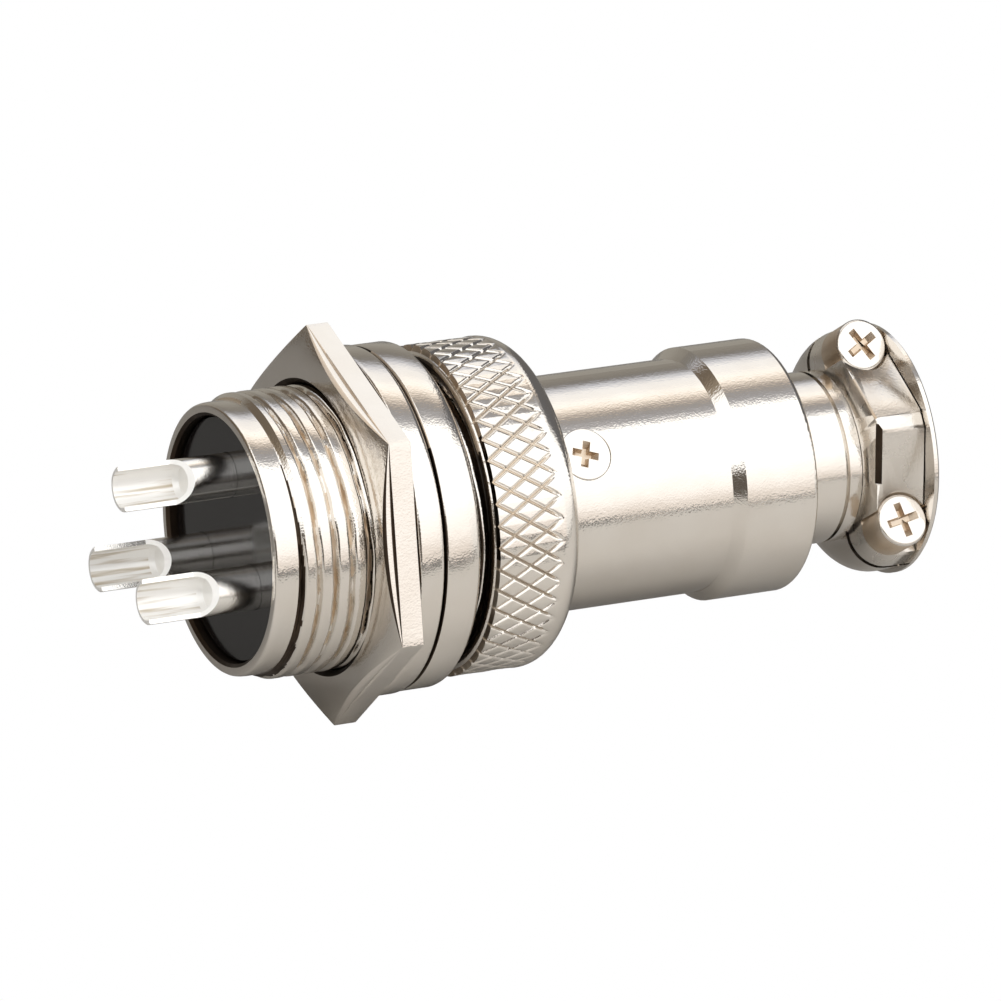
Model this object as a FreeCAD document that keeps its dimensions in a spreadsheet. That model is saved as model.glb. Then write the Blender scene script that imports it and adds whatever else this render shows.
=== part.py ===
"""Circular three-contact connector: a panel receptacle mated with its cable plug.

The common axis is +X: the solder cups of the receptacle point to -X and the cable leaves at +X.
The origin is on that axis, in the face of the flange that seats on the panel. +Z is up.
All lengths are in millimetres and all angles in degrees.
"""
import FreeCAD, Part
import Sketcher
import math
import os

from FreeCAD import Placement, Rotation, Vector

X_AXIS = Vector(1, 0, 0)
Y_AXIS = Vector(0, 1, 0)
Z_AXIS = Vector(0, 0, 1)
CONTACT_COUNT = 3

# Driving sizes: alias, value, what it measures.
SIZES = [
    ("thread_radius", 7.9, "crest radius of the panel thread and of the coupling thread"),
    ("thread_play", 0.05, "radial play of the panel nut and of the coupling ring on their threads"),
    ("fit_play", 0.03, "radial play of insulators in shells and of contacts in insulators"),
    ("edge_break", 0.12, "small bevel on turned edges"),
    ("rim_reach", 9.17, "rear rim behind the panel seat"),
    ("rim_chamfer", 0.15, "outer chamfer of the rear rim"),
    ("band_length", 1.37, "plain band behind the panel thread, along the axis"),
    ("band_drop", 0.35, "plain band below the crest of the panel thread"),
    ("band_rise", 0.3, "cone between the plain band and the panel thread, along the axis"),
    ("thread_pitch", 1.0, "pitch of the panel thread"),
    ("thread_depth", 0.33, "depth of the panel thread"),
    ("thread_flat", 0.38, "flat crest of the panel thread"),
    ("thread_root", 0.12, "flat bottom of the panel thread"),
    ("thread_clock", 57.0, "clock angle where the groove leaves the plain band"),
    ("rim_wall", 1.06, "wall of the rim, around the receptacle insulator"),
    ("insulator_recess", 0.57, "insulator face inside the rear rim"),
    ("insulator_length", 5.4, "receptacle insulator, along the axis"),
    ("mating_wall", 1.5, "wall around the nose of the plug, up to the crest of the coupling thread"),
    ("mating_chamfer", 0.4, "chamfer on the front end of the coupling thread"),
    ("flange_width", 1.7, "panel flange beyond the thread"),
    ("flange_thickness", 2.29, "panel flange"),
    ("flange_chamfer", 0.4, "front edge of the panel flange"),
    ("key_width", 1.4, "polarising key on the nose of the plug"),
    ("key_height", 0.5, "key above the nose of the plug"),
    ("key_length", 6.4, "key, along the axis"),
    ("key_play", 0.05, "play on each side of the key and above it"),
    ("contact_inset", 1.85, "circle of the contacts inside the bore of the nose"),
    ("contact_clock", 1.0, "clock angle of the first contact, from +Z towards -Y"),
    ("cup_radius", 1.25, "outside of a solder cup"),
    ("cup_bore", 1.0, "bore radius of a solder cup"),
    ("cup_depth", 5.4, "depth of the bore of a solder cup"),
    ("cup_projection", 6.4, "solder cup beyond its insulator"),
    ("cup_shank", 3.1, "length of a cup that sits inside its insulator"),
    ("scoop_length", 3.3, "open side of a solder cup, up to its rounded end"),
    ("scoop_floor", 0.15, "height of the cut edges above the middle of the cup"),
    ("scoop_round", 1.3, "radius of the rounded end of the scoop"),
    ("scoop_clock", 66.0, "clock angle that the scoops face"),
    ("pin_radius", 1.0, "mating pin"),
    ("pin_reach", 6.8, "mating pin beyond the front of its insulator"),
    ("pin_nose", 0.4, "taper at the tip of a mating pin"),
    ("nut_wall", 1.75, "panel nut, from the crest of the thread to a flat"),
    ("nut_thickness", 1.96, "panel nut"),
    ("nut_clock", -8.6, "clock angle of one corner of the panel nut"),
    ("nut_crease", 0.66, "drafted strip at the outer face of the nut, along the axis"),
    ("nut_draft", 0.14, "how far the drafted strip leans inwards"),
    ("nut_crown", 0.62, "axial fall of the conical crown, from the middle of a flat to a corner"),
    ("nut_mouth", 0.45, "countersink of the nut"),
    ("washer_thickness", 1.6, "panel washer"),
    ("washer_width", 1.57, "panel washer, from its hole to its edge"),
    ("washer_play", 0.2, "radial play of the washer on the panel thread"),
    ("washer_round", 0.3, "rounded edges of the washer"),
    ("seat_gap", 0.05, "play between the flange, the washer and the nut"),
    ("ring_gap", 0.9, "open groove between the flange and the coupling ring"),
    ("ring_side", 1.3, "side wall of the coupling ring"),
    ("ring_length", 5.47, "coupling ring"),
    ("ring_round", 1.3, "rounded rear shoulder of the coupling ring"),
    ("ring_wall", 0.63, "rear wall of the coupling ring"),
    ("ring_seat", 0.03, "play between the rear wall of the coupling ring and the stop flange"),
    ("ring_lead", 0.35, "chamfer at the mouth of the coupling ring"),
    ("ring_play", 0.05, "radial play of the coupling ring on the barrel"),
    ("knurl_margin", 0.25, "plain front edge of the coupling ring"),
    ("knurl_shoulder", 0.04, "plain strip between the knurled band and the rounded shoulder"),
    ("knurl_depth", 0.3, "height of the diamonds"),
    ("knurl_drop", 0.02, "tips of the diamonds below the plain shoulder"),
    ("knurl_count", 47, "diamonds around the ring"),
    ("knurl_rows", 4, "rows of half diamonds along the band"),
    ("nose_gap", 0.3, "nose of the plug short of the receptacle insulator"),
    ("nose_play", 0.07, "radial play of the nose in the mating bore"),
    ("nose_wall", 0.83, "wall of the nose, around the plug insulator"),
    ("nose_lip", 0.4, "nose ahead of the groove of the retaining ring"),
    ("stop_gap", 0.05, "stop flange of the plug short of the receptacle"),
    ("stop_inset", 0.3, "edge of the stop flange below the crest of the coupling thread"),
    ("stop_thickness", 0.75, "stop flange of the plug body"),
    ("tail_length", 5.6, "threaded tail of the plug body"),
    ("tail_wall", 0.8, "wall of the tail"),
    ("shoulder_step", 0.45, "height of the shoulder that the plug insulator seats on"),
    ("shoulder_wall", 0.45, "face of that shoulder ahead of the stop flange"),
    ("snap_wire", 0.5, "retaining ring, along the axis"),
    ("snap_hold", 0.5, "retaining ring inside the bore of the nose"),
    ("snap_bite", 0.25, "retaining ring in its groove"),
    ("snap_opening", 1.6, "opening of the retaining ring"),
    ("socket_radius", 1.3, "socket contact"),
    ("socket_play", 0.05, "radial play of a pin in its socket"),
    ("socket_depth", 7.2, "depth of the socket bore"),
    ("socket_inset", 0.1, "socket behind the groove of the retaining ring"),
    ("socket_tail", 4.4, "solder cup of a socket contact beyond the plug insulator"),
    ("socket_cup_depth", 3.4, "bore of the solder cup of a socket contact"),
    ("barrel_wall", 0.67, "front wall of the barrel, around the tail"),
    ("barrel_length", 16.15, "barrel"),
    ("grip_length", 5.09, "rear part of the barrel with its conical step"),
    ("step_rise", 0.55, "conical step of the barrel, across"),
    ("step_length", 0.61, "conical step of the barrel, along the axis"),
    ("barrel_round", 0.3, "rounded rear edge of the barrel"),
    ("cavity_wall", 0.97, "front wall of the barrel, around the wiring space"),
    ("barrel_floor", 1.75, "rear wall of the barrel"),
    ("tail_play", 0.05, "radial play of the barrel on the tail and on the neck"),
    ("set_offset", 2.53, "set screw behind the stop flange"),
    ("set_clock", 55.0, "clock angle of the set screw"),
    ("set_radius", 1.45, "set screw"),
    ("set_sink", 0.05, "face of the set screw below the barrel"),
    ("set_tip", 0.95, "tip radius of the set screw"),
    ("set_bite", 0.35, "tip of the set screw inside the tail"),
    ("screw_play", 0.05, "radial play of screws in their holes"),
    ("cable_bore", 3.6, "radius of the way for the cable"),
    ("spigot_wall", 0.65, "wall of the threaded spigot of the cable neck"),
    ("spigot_length", 1.25, "threaded spigot of the cable neck"),
    ("collar_step", 0.6, "collars of the cable neck above the spigot"),
    ("neck_length", 2.91, "first collar of the cable neck"),
    ("groove_depth", 0.35, "groove between the collars"),
    ("groove_width", 0.24, "groove between the collars"),
    ("collar_length", 0.86, "second collar of the cable neck"),
    ("throat_depth", 0.45, "throat in front of the clamp, below the collars"),
    ("throat_length", 0.27, "throat in front of the clamp"),
    ("jaw_length", 2.97, "fixed jaw of the clamp"),
    ("jaw_dome", 1.95, "rounded front edge of the clamp"),
    ("lip_rise", 0.23, "end lip of the clamp above the jaw"),
    ("lip_thickness", 0.35, "end lip of the clamp"),
    ("clamp_clock", 60.5, "clock angle that the saddle of the clamp faces"),
    ("clamp_gap", 0.35, "gap between saddle and fixed jaw"),
    ("saddle_play", 0.05, "play of the saddle along the axis, at the end lip"),
    ("saddle_drop", 0.97, "facets of the saddle inside the round of the fixed jaw"),
    ("saddle_bevel", 0.3, "bevel around the ends of the saddle"),
    ("ear_height", 2.1, "screw seats of the saddle above the middle of the clamp"),
    ("screw_wall", 0.5, "wall between the way for the cable and a clamp screw"),
    ("screw_edge", 0.77, "jaw outside a clamp screw"),
    ("screw_radius", 1.0, "clamp screw"),
    ("screw_bite", 2.0, "clamp screw below the middle of the clamp"),
    ("screw_relief", 0.4, "hole beyond the end of a clamp screw"),
    ("head_radius", 1.5, "head of a clamp screw"),
    ("head_height", 2.2, "head of a clamp screw"),
    ("head_bevel", 0.2, "edge of the head of a clamp screw"),
    ("head_play", 0.12, "radial play of the head in its seat"),
    ("cross_span", 2.1, "cross recess of the screws, tip to tip"),
    ("cross_width", 0.55, "arm of the cross recess"),
    ("cross_depth", 0.7, "cross recess of a clamp screw"),
    ("set_cross_depth", 0.45, "cross recess of the set screw"),
    ("set_cross_tilt", -20.0, "cross recess of the set screw, turned from the axis of the plug"),
    ("upper_cross_tilt", 29.0, "cross recess of the upper clamp screw, turned from that axis"),
    ("lower_cross_tilt", 10.0, "cross recess of the lower clamp screw, turned from that axis"),
]

# Stations along the axis, as expressions of the driving sizes.
RIM = "(-sizes.rim_reach)"
BAND_END = "(sizes.band_length - sizes.rim_reach)"
THREAD_START = BAND_END[:-1] + " + sizes.band_rise)"
GROOVE_START = BAND_END[:-1] + " - sizes.thread_pitch * (sizes.thread_clock + 180) / 360)"
REAR_FACE = "(sizes.insulator_recess - sizes.rim_reach)"
SEAT = "(sizes.insulator_recess - sizes.rim_reach + sizes.insulator_length)"
FLANGE_FRONT = "sizes.flange_thickness"
RING_FRONT = "(sizes.flange_thickness + sizes.ring_gap)"
RING_REAR = "(sizes.flange_thickness + sizes.ring_gap + sizes.ring_length)"
KNURL_START = "(sizes.flange_thickness + sizes.ring_gap + sizes.knurl_margin)"
KNURL_END = RING_REAR[:-1] + " - sizes.ring_round - sizes.knurl_shoulder)"
STOP_REAR = RING_REAR[:-1] + " - sizes.ring_wall - sizes.ring_seat)"
STOP_FRONT = STOP_REAR[:-1] + " - sizes.stop_thickness)"
RECEPTACLE_END = STOP_FRONT[:-1] + " - sizes.stop_gap)"
NOSE_FRONT = SEAT[:-1] + " + sizes.nose_gap)"
SNAP_START = NOSE_FRONT[:-1] + " + sizes.nose_lip)"
SNAP_END = SNAP_START[:-1] + " + sizes.snap_wire)"
SOCKET_FRONT = SNAP_END[:-1] + " + sizes.socket_inset)"
PLUG_SHOULDER = STOP_FRONT[:-1] + " - sizes.shoulder_wall)"
SET_STATION = STOP_REAR[:-1] + " + sizes.set_offset)"
TAIL_END = STOP_REAR[:-1] + " + sizes.tail_length)"
BARREL_END = STOP_REAR[:-1] + " + sizes.barrel_length)"
STEP_START = BARREL_END[:-1] + " - sizes.grip_length)"
STEP_END = STEP_START[:-1] + " + sizes.step_length)"
BARREL_FLOOR = BARREL_END[:-1] + " - sizes.barrel_floor)"
SPIGOT_START = BARREL_END[:-1] + " - sizes.spigot_length)"
NECK_END = BARREL_END[:-1] + " + sizes.neck_length)"
GROOVE_END = NECK_END[:-1] + " + sizes.groove_width)"
COLLAR_END = GROOVE_END[:-1] + " + sizes.collar_length)"
JAW_START = COLLAR_END[:-1] + " + sizes.throat_length)"
LIP_START = JAW_START[:-1] + " + sizes.jaw_length)"
LIP_END = LIP_START[:-1] + " + sizes.lip_thickness)"
SADDLE_END = LIP_START[:-1] + " - sizes.saddle_play)"
CLAMP_MIDDLE = "((%s + %s) / 2)" % (JAW_START, SADDLE_END)

# Radii, from the thread inwards and outwards through the plug, and from the cable outwards.
THREAD_BORE = "(sizes.thread_radius + sizes.thread_play)"
BAND_RADIUS = "(sizes.thread_radius - sizes.band_drop)"
RIM_BORE = "(sizes.thread_radius - sizes.rim_wall)"
MATING_BORE = "(sizes.thread_radius - sizes.mating_wall)"
FLANGE_RADIUS = "(sizes.thread_radius + sizes.flange_width)"
NUT_APOTHEM = "(sizes.thread_radius + sizes.nut_wall)"
WASHER_BORE = "(sizes.thread_radius + sizes.washer_play)"
WASHER_RADIUS = WASHER_BORE[:-1] + " + sizes.washer_width)"
RING_RADIUS = THREAD_BORE[:-1] + " + sizes.ring_side)"
STOP_RADIUS = "(sizes.thread_radius - sizes.stop_inset)"
NOSE_RADIUS = MATING_BORE[:-1] + " - sizes.nose_play)"
NOSE_BORE = NOSE_RADIUS[:-1] + " - sizes.nose_wall)"
CONTACT_CIRCLE = NOSE_BORE[:-1] + " - sizes.contact_inset)"
SNAP_INNER = NOSE_BORE[:-1] + " - sizes.snap_hold)"
SNAP_OUTER = NOSE_BORE[:-1] + " + sizes.snap_bite)"
TAIL_BORE = NOSE_BORE[:-1] + " - sizes.shoulder_step)"
TAIL_RADIUS = TAIL_BORE[:-1] + " + sizes.tail_wall)"
TAIL_HOLE = TAIL_RADIUS[:-1] + " + sizes.tail_play)"
BARREL_RADIUS = TAIL_HOLE[:-1] + " + sizes.barrel_wall)"
CAVITY_RADIUS = BARREL_RADIUS[:-1] + " - sizes.cavity_wall)"
GRIP_RADIUS = BARREL_RADIUS[:-1] + " + sizes.step_rise)"
SPIGOT_RADIUS = "(sizes.cable_bore + sizes.spigot_wall)"
NECK_RADIUS = SPIGOT_RADIUS[:-1] + " + sizes.collar_step)"
GROOVE_RADIUS = NECK_RADIUS[:-1] + " - sizes.groove_depth)"
THROAT_RADIUS = NECK_RADIUS[:-1] + " - sizes.throat_depth)"
SCREW_SPREAD = "(sizes.cable_bore + sizes.screw_wall + sizes.screw_radius)"
JAW_RADIUS = SCREW_SPREAD[:-1] + " + sizes.screw_radius + sizes.screw_edge)"
LIP_RADIUS = JAW_RADIUS[:-1] + " + sizes.lip_rise)"
SADDLE_APOTHEM = JAW_RADIUS[:-1] + " - sizes.saddle_drop)"
CLAMP_ROOM = LIP_RADIUS[:-1] + " + sizes.edge_break)"

doc = FreeCAD.newDocument("connector")
sizes = doc.addObject("Spreadsheet::Sheet", "sizes")
for row, (alias, value, note) in enumerate(SIZES, start=1):
    sizes.set("A%d" % row, alias)
    sizes.set("B%d" % row, str(value))
    sizes.set("C%d" % row, note)
    sizes.setAlias("B%d" % row, alias)
doc.recompute()


def number(expression):
    """Value of an expression of the sheet."""
    result = sizes.evalExpression(expression)
    return float(getattr(result, "Value", result))


def bind(item, **properties):
    """Bind properties of an object to expressions; a double underscore stands for a dot."""
    for name, expression in properties.items():
        item.setExpression(name.replace("__", "."), expression)


def origin_plane(body, role):
    """Origin plane of a body, found by its role."""
    for feature in body.Origin.OriginFeatures:
        if feature.Role == role:
            return feature
    raise ValueError(role)


def arc_centre(start, end, radius):
    """Centre of the clockwise arc of the given radius from start to end."""
    chord = end - start
    middle = (start + end) * 0.5
    side = Vector(chord.y, -chord.x, 0).normalize()
    return middle + side * math.sqrt(max(radius ** 2 - (chord.Length / 2) ** 2, 0))


def turned(label, outline, upright=False):
    """Body turned about +X, or about +Z when upright.

    The outline lists corners as (along, radius) expressions. A third item, for a body along +X,
    rounds the edge that leaves the corner: it is the radius of a convex arc to the next corner.
    """
    body = doc.addObject("PartDesign::Body", label)
    sketch = body.newObject("Sketcher::SketchObject", label + "_outline")
    sketch.AttachmentSupport = (origin_plane(body, "XZ_Plane"), [""])
    sketch.MapMode = "FlatFace"
    corners = []
    for corner in outline:
        along, radius = number(corner[0]), number(corner[1])
        corners.append(Vector(radius, along, 0) if upright else Vector(along, radius, 0))
    leaving = []
    arriving = []
    for index, corner in enumerate(outline):
        start = corners[index]
        end = corners[(index + 1) % len(corners)]
        if len(corner) == 3:
            rounding = number(corner[2])
            centre = arc_centre(start, end, rounding)
            begin = math.atan2(end.y - centre.y, end.x - centre.x)
            finish = math.atan2(start.y - centre.y, start.x - centre.x)
            circle = Part.Circle(centre, Z_AXIS, rounding)
            edge = sketch.addGeometry(Part.ArcOfCircle(circle, begin, finish), False)
            leaving.append((edge, 2))
            arriving.append((edge, 1))
        else:
            edge = sketch.addGeometry(Part.LineSegment(start, end), False)
            leaving.append((edge, 1))
            arriving.append((edge, 2))
    for index, corner in enumerate(outline):
        edge, point = leaving[index]
        last_edge, last_point = arriving[index - 1]
        sketch.addConstraint(Sketcher.Constraint("Coincident", last_edge, last_point, edge, point))
        along, radius = corner[0], corner[1]
        across_kind, along_kind = ("DistanceX", "DistanceY") if upright else ("DistanceY", "DistanceX")
        for kind, expression, axis in ((along_kind, along, -1 if upright else -2),
                                       (across_kind, radius, -2 if upright else -1)):
            if expression == "0":
                sketch.addConstraint(Sketcher.Constraint("PointOnObject", edge, point, axis))
                continue
            datum = sketch.addConstraint(
                Sketcher.Constraint(kind, -1, 1, edge, point, number(expression)))
            sketch.setExpression("Constraints[%d]" % datum, expression)
        if len(corner) == 3:
            datum = sketch.addConstraint(Sketcher.Constraint("Radius", edge, number(corner[2])))
            sketch.setExpression("Constraints[%d]" % datum, corner[2])
    revolution = body.newObject("PartDesign::Revolution", label + "_turned")
    revolution.Profile = sketch
    revolution.ReferenceAxis = (sketch, ["V_Axis" if upright else "H_Axis"])
    revolution.Angle = 360
    return body


def rod(label, radius, start, end, across="0", up="0"):
    """Cylinder along +X from start to end, its axis off the main axis by across and up."""
    item = doc.addObject("Part::Cylinder", label)
    item.Placement = Placement(Vector(), Rotation(Y_AXIS, 90))
    bind(item, Radius=radius, Height="(%s) - (%s)" % (end, start))
    bind(item, Placement__Base__x=start, Placement__Base__y=across, Placement__Base__z=up)
    return item


def post(label, radius, low, high, along="0", across="0"):
    """Cylinder along +Z from low to high."""
    item = doc.addObject("Part::Cylinder", label)
    bind(item, Radius=radius, Height="(%s) - (%s)" % (high, low))
    bind(item, Placement__Base__x=along, Placement__Base__y=across, Placement__Base__z=low)
    return item


def block(label, along, across, up):
    """Box between pairs of expressions on the three axes."""
    item = doc.addObject("Part::Box", label)
    bind(item, Length="(%s) - (%s)" % (along[1], along[0]))
    bind(item, Width="(%s) - (%s)" % (across[1], across[0]), Height="(%s) - (%s)" % (up[1], up[0]))
    bind(item, Placement__Base__x=along[0], Placement__Base__y=across[0], Placement__Base__z=up[0])
    return item


def joined(label, items):
    """Union of several objects."""
    item = doc.addObject("Part::MultiFuse", label)
    item.Shapes = items
    return item


def cut(label, base, tools):
    """Base less its tools."""
    item = doc.addObject("Part::Cut", label)
    item.Base = base
    item.Tool = tools[0] if len(tools) == 1 else joined(label + "_tools", tools)
    return item


def common(label, base, tool):
    """What two objects share."""
    item = doc.addObject("Part::Common", label)
    item.Base = base
    item.Tool = tool
    return item


def clocked(item, clock):
    """Turn an object about the main axis, from +Z towards -Y."""
    item.Placement = Placement(item.Placement.Base, Rotation(X_AXIS, number(clock)))
    bind(item, Placement__Rotation__Angle="%s * 1 deg" % clock)


def contact_clock(index):
    """Clock angle of a contact, as an expression."""
    return "(sizes.contact_clock + %d)" % (index * 360 // CONTACT_COUNT)


def contact_place(index):
    """Place of a contact across the main axis, as two expressions."""
    angle = contact_clock(index)
    return ("(-%s * sin(%s))" % (CONTACT_CIRCLE, angle), "(%s * cos(%s))" % (CONTACT_CIRCLE, angle))


def thread_groove(label, start, end):
    """Right-hand groove of the thread between two stations; it starts at the lowest point."""
    helix = doc.addObject("Part::Helix", label + "_helix")
    helix.Placement = Placement(Vector(), Rotation(Y_AXIS, 90))
    bind(helix, Pitch="sizes.thread_pitch", Height="(%s) - (%s)" % (end, start))
    bind(helix, Radius="sizes.thread_radius", Placement__Base__x=start)
    root = "(sizes.thread_root / 2)"
    mouth = "((sizes.thread_pitch - sizes.thread_flat) * 0.75 - sizes.thread_root / 4)"
    bottom = "(sizes.thread_radius - sizes.thread_depth)"
    above = "(sizes.thread_radius + sizes.thread_depth / 2)"
    corners = [("-" + mouth, above), ("-" + root, bottom), (root, bottom), (mouth, above)]
    profile = doc.addObject("Sketcher::SketchObject", label + "_profile")
    profile.Placement = Placement(Vector(), Rotation(X_AXIS, -90))
    bind(profile, Placement__Base__x=start)
    points = [Vector(number(along), number(radius), 0) for along, radius in corners]
    for index, point in enumerate(points):
        profile.addGeometry(Part.LineSegment(point, points[(index + 1) % 4]), False)
    for index, (along, radius) in enumerate(corners):
        profile.addConstraint(Sketcher.Constraint("Coincident", (index - 1) % 4, 2, index, 1))
        for kind, expression in (("DistanceX", along), ("DistanceY", radius)):
            datum = profile.addConstraint(
                Sketcher.Constraint(kind, -1, 1, index, 1, number(expression)))
            profile.setExpression("Constraints[%d]" % datum, expression)
    groove = doc.addObject("Part::Sweep", label)
    groove.Sections = [profile]
    groove.Spine = (helix, [])
    groove.Solid = True
    groove.Frenet = True
    return groove


def receptacle_shell():
    """Panel shell: rear thread, flange and threaded mating barrel with its keyway."""
    crest = "sizes.thread_radius"
    bevel = "sizes.edge_break"
    body = turned("receptacle_blank", [
        (RIM, RIM_BORE + " + " + bevel),
        (RIM, BAND_RADIUS + " - sizes.rim_chamfer"),
        (RIM + " + sizes.rim_chamfer", BAND_RADIUS),
        (BAND_END, BAND_RADIUS),
        (THREAD_START, crest),
        ("0", crest),
        ("0", FLANGE_RADIUS + " - " + bevel),
        (bevel, FLANGE_RADIUS),
        (FLANGE_FRONT + " - sizes.flange_chamfer", FLANGE_RADIUS),
        (FLANGE_FRONT, FLANGE_RADIUS + " - sizes.flange_chamfer"),
        (FLANGE_FRONT, crest),
        (RECEPTACLE_END + " - sizes.mating_chamfer", crest),
        (RECEPTACLE_END, crest + " - sizes.mating_chamfer"),
        (RECEPTACLE_END, MATING_BORE + " + " + bevel),
        (RECEPTACLE_END + " - " + bevel, MATING_BORE),
        (SEAT, MATING_BORE),
        (SEAT, RIM_BORE),
        (RIM + " + " + bevel, RIM_BORE),
    ])
    half = "(sizes.key_width / 2 + sizes.key_play)"
    top = "(%s + sizes.key_height + sizes.key_play)" % NOSE_RADIUS
    keyway = block("keyway", (SEAT, RECEPTACLE_END + " + sizes.edge_break"),
                   ("-" + half, half), (MATING_BORE + " - sizes.key_height", top))
    groove = thread_groove("panel_groove", GROOVE_START, "-sizes.thread_pitch / 2")
    keyed = cut("receptacle_keyed", body, [keyway])
    return cut("receptacle_shell", keyed, [groove])


def contact_holes(label, rear, shoulder, front, wide, narrow):
    """Stepped holes for the contacts: wide up to the shoulder and narrow beyond it."""
    holes = []
    for index in range(CONTACT_COUNT):
        across, up = contact_place(index)
        name = "%s_hole_%d" % (label, index + 1)
        holes.append(rod(name + "_wide", wide, rear, shoulder, across, up))
        holes.append(rod(name + "_narrow", narrow, shoulder, front, across, up))
    return holes


def receptacle_insulator():
    """Glossy moulded disc that holds the three pins."""
    outer = RIM_BORE[:-1] + " - sizes.fit_play)"
    disc = turned("receptacle_insulator_blank", [
        (REAR_FACE, "0"),
        (REAR_FACE, outer + " - sizes.edge_break"),
        (REAR_FACE + " + sizes.edge_break", outer),
        (SEAT, outer),
        (SEAT, "0"),
    ])
    shoulder = REAR_FACE + " + sizes.cup_shank"
    holes = contact_holes("receptacle_insulator", REAR_FACE, shoulder, SEAT,
                          "sizes.cup_radius + sizes.fit_play", "sizes.pin_radius + sizes.fit_play")
    return cut("receptacle_insulator", disc, holes)


def scoop(label, tip, floor, length):
    """Cutter for the open side of a solder cup that starts at tip and opens towards +Z."""
    reach = "(sizes.cup_radius + sizes.edge_break)"
    end = "(%s + %s)" % (tip, length)
    side = block(label + "_side", (tip + " - sizes.edge_break", end), ("-" + reach, reach),
                 (floor, floor + " + sizes.scoop_round + sizes.cup_radius"))
    ramp = doc.addObject("Part::Cylinder", label + "_ramp")
    ramp.Placement = Placement(Vector(), Rotation(X_AXIS, -90))
    bind(ramp, Radius="sizes.scoop_round", Height="2 * " + reach)
    bind(ramp, Placement__Base__x=end, Placement__Base__y="-" + reach)
    bind(ramp, Placement__Base__z=floor + " + sizes.scoop_round")
    return joined(label, [side, ramp])


def contact_pin(index):
    """Turned pin: a scooped solder cup behind the insulator and a round mating pin in front."""
    name = "contact_pin_%d" % (index + 1)
    tip = REAR_FACE + " - sizes.cup_projection"
    shoulder = REAR_FACE + " + sizes.cup_shank"
    front = SEAT + " + sizes.pin_reach"
    cup = "sizes.cup_radius"
    body = turned(name + "_blank", [
        (tip, "sizes.cup_bore"),
        (tip, cup),
        (shoulder, cup),
        (shoulder, "sizes.pin_radius"),
        (front + " - sizes.pin_nose", "sizes.pin_radius"),
        (front, "sizes.pin_radius - sizes.pin_nose"),
        (front, "0"),
        (tip + " + sizes.cup_depth", "0"),
        (tip + " + sizes.cup_depth", "sizes.cup_bore"),
    ])
    opening = scoop(name + "_scoop", tip, "sizes.scoop_floor", "sizes.scoop_length")
    return placed_contact(cut(name, body, [opening]), index)


def placed_contact(item, index):
    """Put a contact on its circle with its scoop turned to the common clock angle."""
    clocked(item, "sizes.scoop_clock")
    across, up = contact_place(index)
    bind(item, Placement__Base__y=across, Placement__Base__z=up)
    return item


def panel_nut():
    """Hexagon nut with a conical crown and a drafted strip at its outer face."""
    seat = "(0 - sizes.seat_gap * 2 - sizes.washer_thickness)"
    face = "(%s - sizes.nut_thickness)" % seat
    crease = "(%s + sizes.nut_crease)" % face
    corner = "(%s / cos(30))" % NUT_APOTHEM
    flats = doc.addObject("Part::Prism", "nut_flats_prism")
    flats.Polygon = 6
    flats.Placement = Placement(Vector(), Rotation(Y_AXIS, 90))
    bind(flats, Circumradius=corner, Height="(%s) - (%s)" % (seat, crease))
    bind(flats, Placement__Base__x=crease)
    outlines = []
    for name, station, radius in (("nut_strip_inner", crease, corner),
                                  ("nut_strip_outer", face, corner + " - sizes.nut_draft")):
        hexagon = doc.addObject("Part::RegularPolygon", name)
        hexagon.Polygon = 6
        hexagon.Placement = Placement(Vector(), Rotation(Y_AXIS, 90))
        bind(hexagon, Circumradius=radius, Placement__Base__x=station)
        outlines.append(hexagon)
    strip = doc.addObject("Part::Loft", "nut_strip")
    strip.Sections = outlines
    strip.Solid = True
    strip.Ruled = True
    hexagon = joined("nut_hexagon", [flats, strip])
    crown = turned("nut_crown_blank", [
        (face, THREAD_BORE + " + sizes.nut_mouth"),
        (face, NUT_APOTHEM + " - sizes.nut_draft"),
        (face + " + sizes.nut_crown", corner),
        (seat + " - sizes.edge_break * 2", corner),
        (seat, corner + " - sizes.edge_break * 4"),
        (seat, THREAD_BORE + " + sizes.nut_mouth / 2"),
        (seat + " - sizes.nut_mouth / 2", THREAD_BORE),
        (face + " + sizes.nut_mouth", THREAD_BORE),
    ])
    nut = common("panel_nut", hexagon, crown)
    clocked(nut, "sizes.nut_clock")
    return nut


def panel_washer():
    """Thick plain washer with rounded edges."""
    front = "(0 - sizes.seat_gap)"
    rear = "(%s - sizes.washer_thickness)" % front
    return turned("panel_washer", [
        (rear, WASHER_BORE),
        (rear, WASHER_RADIUS + " - sizes.washer_round", "sizes.washer_round"),
        (rear + " + sizes.washer_round", WASHER_RADIUS),
        (front + " - sizes.washer_round", WASHER_RADIUS, "sizes.washer_round"),
        (front, WASHER_RADIUS + " - sizes.washer_round"),
        (front, WASHER_BORE),
    ])


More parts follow.
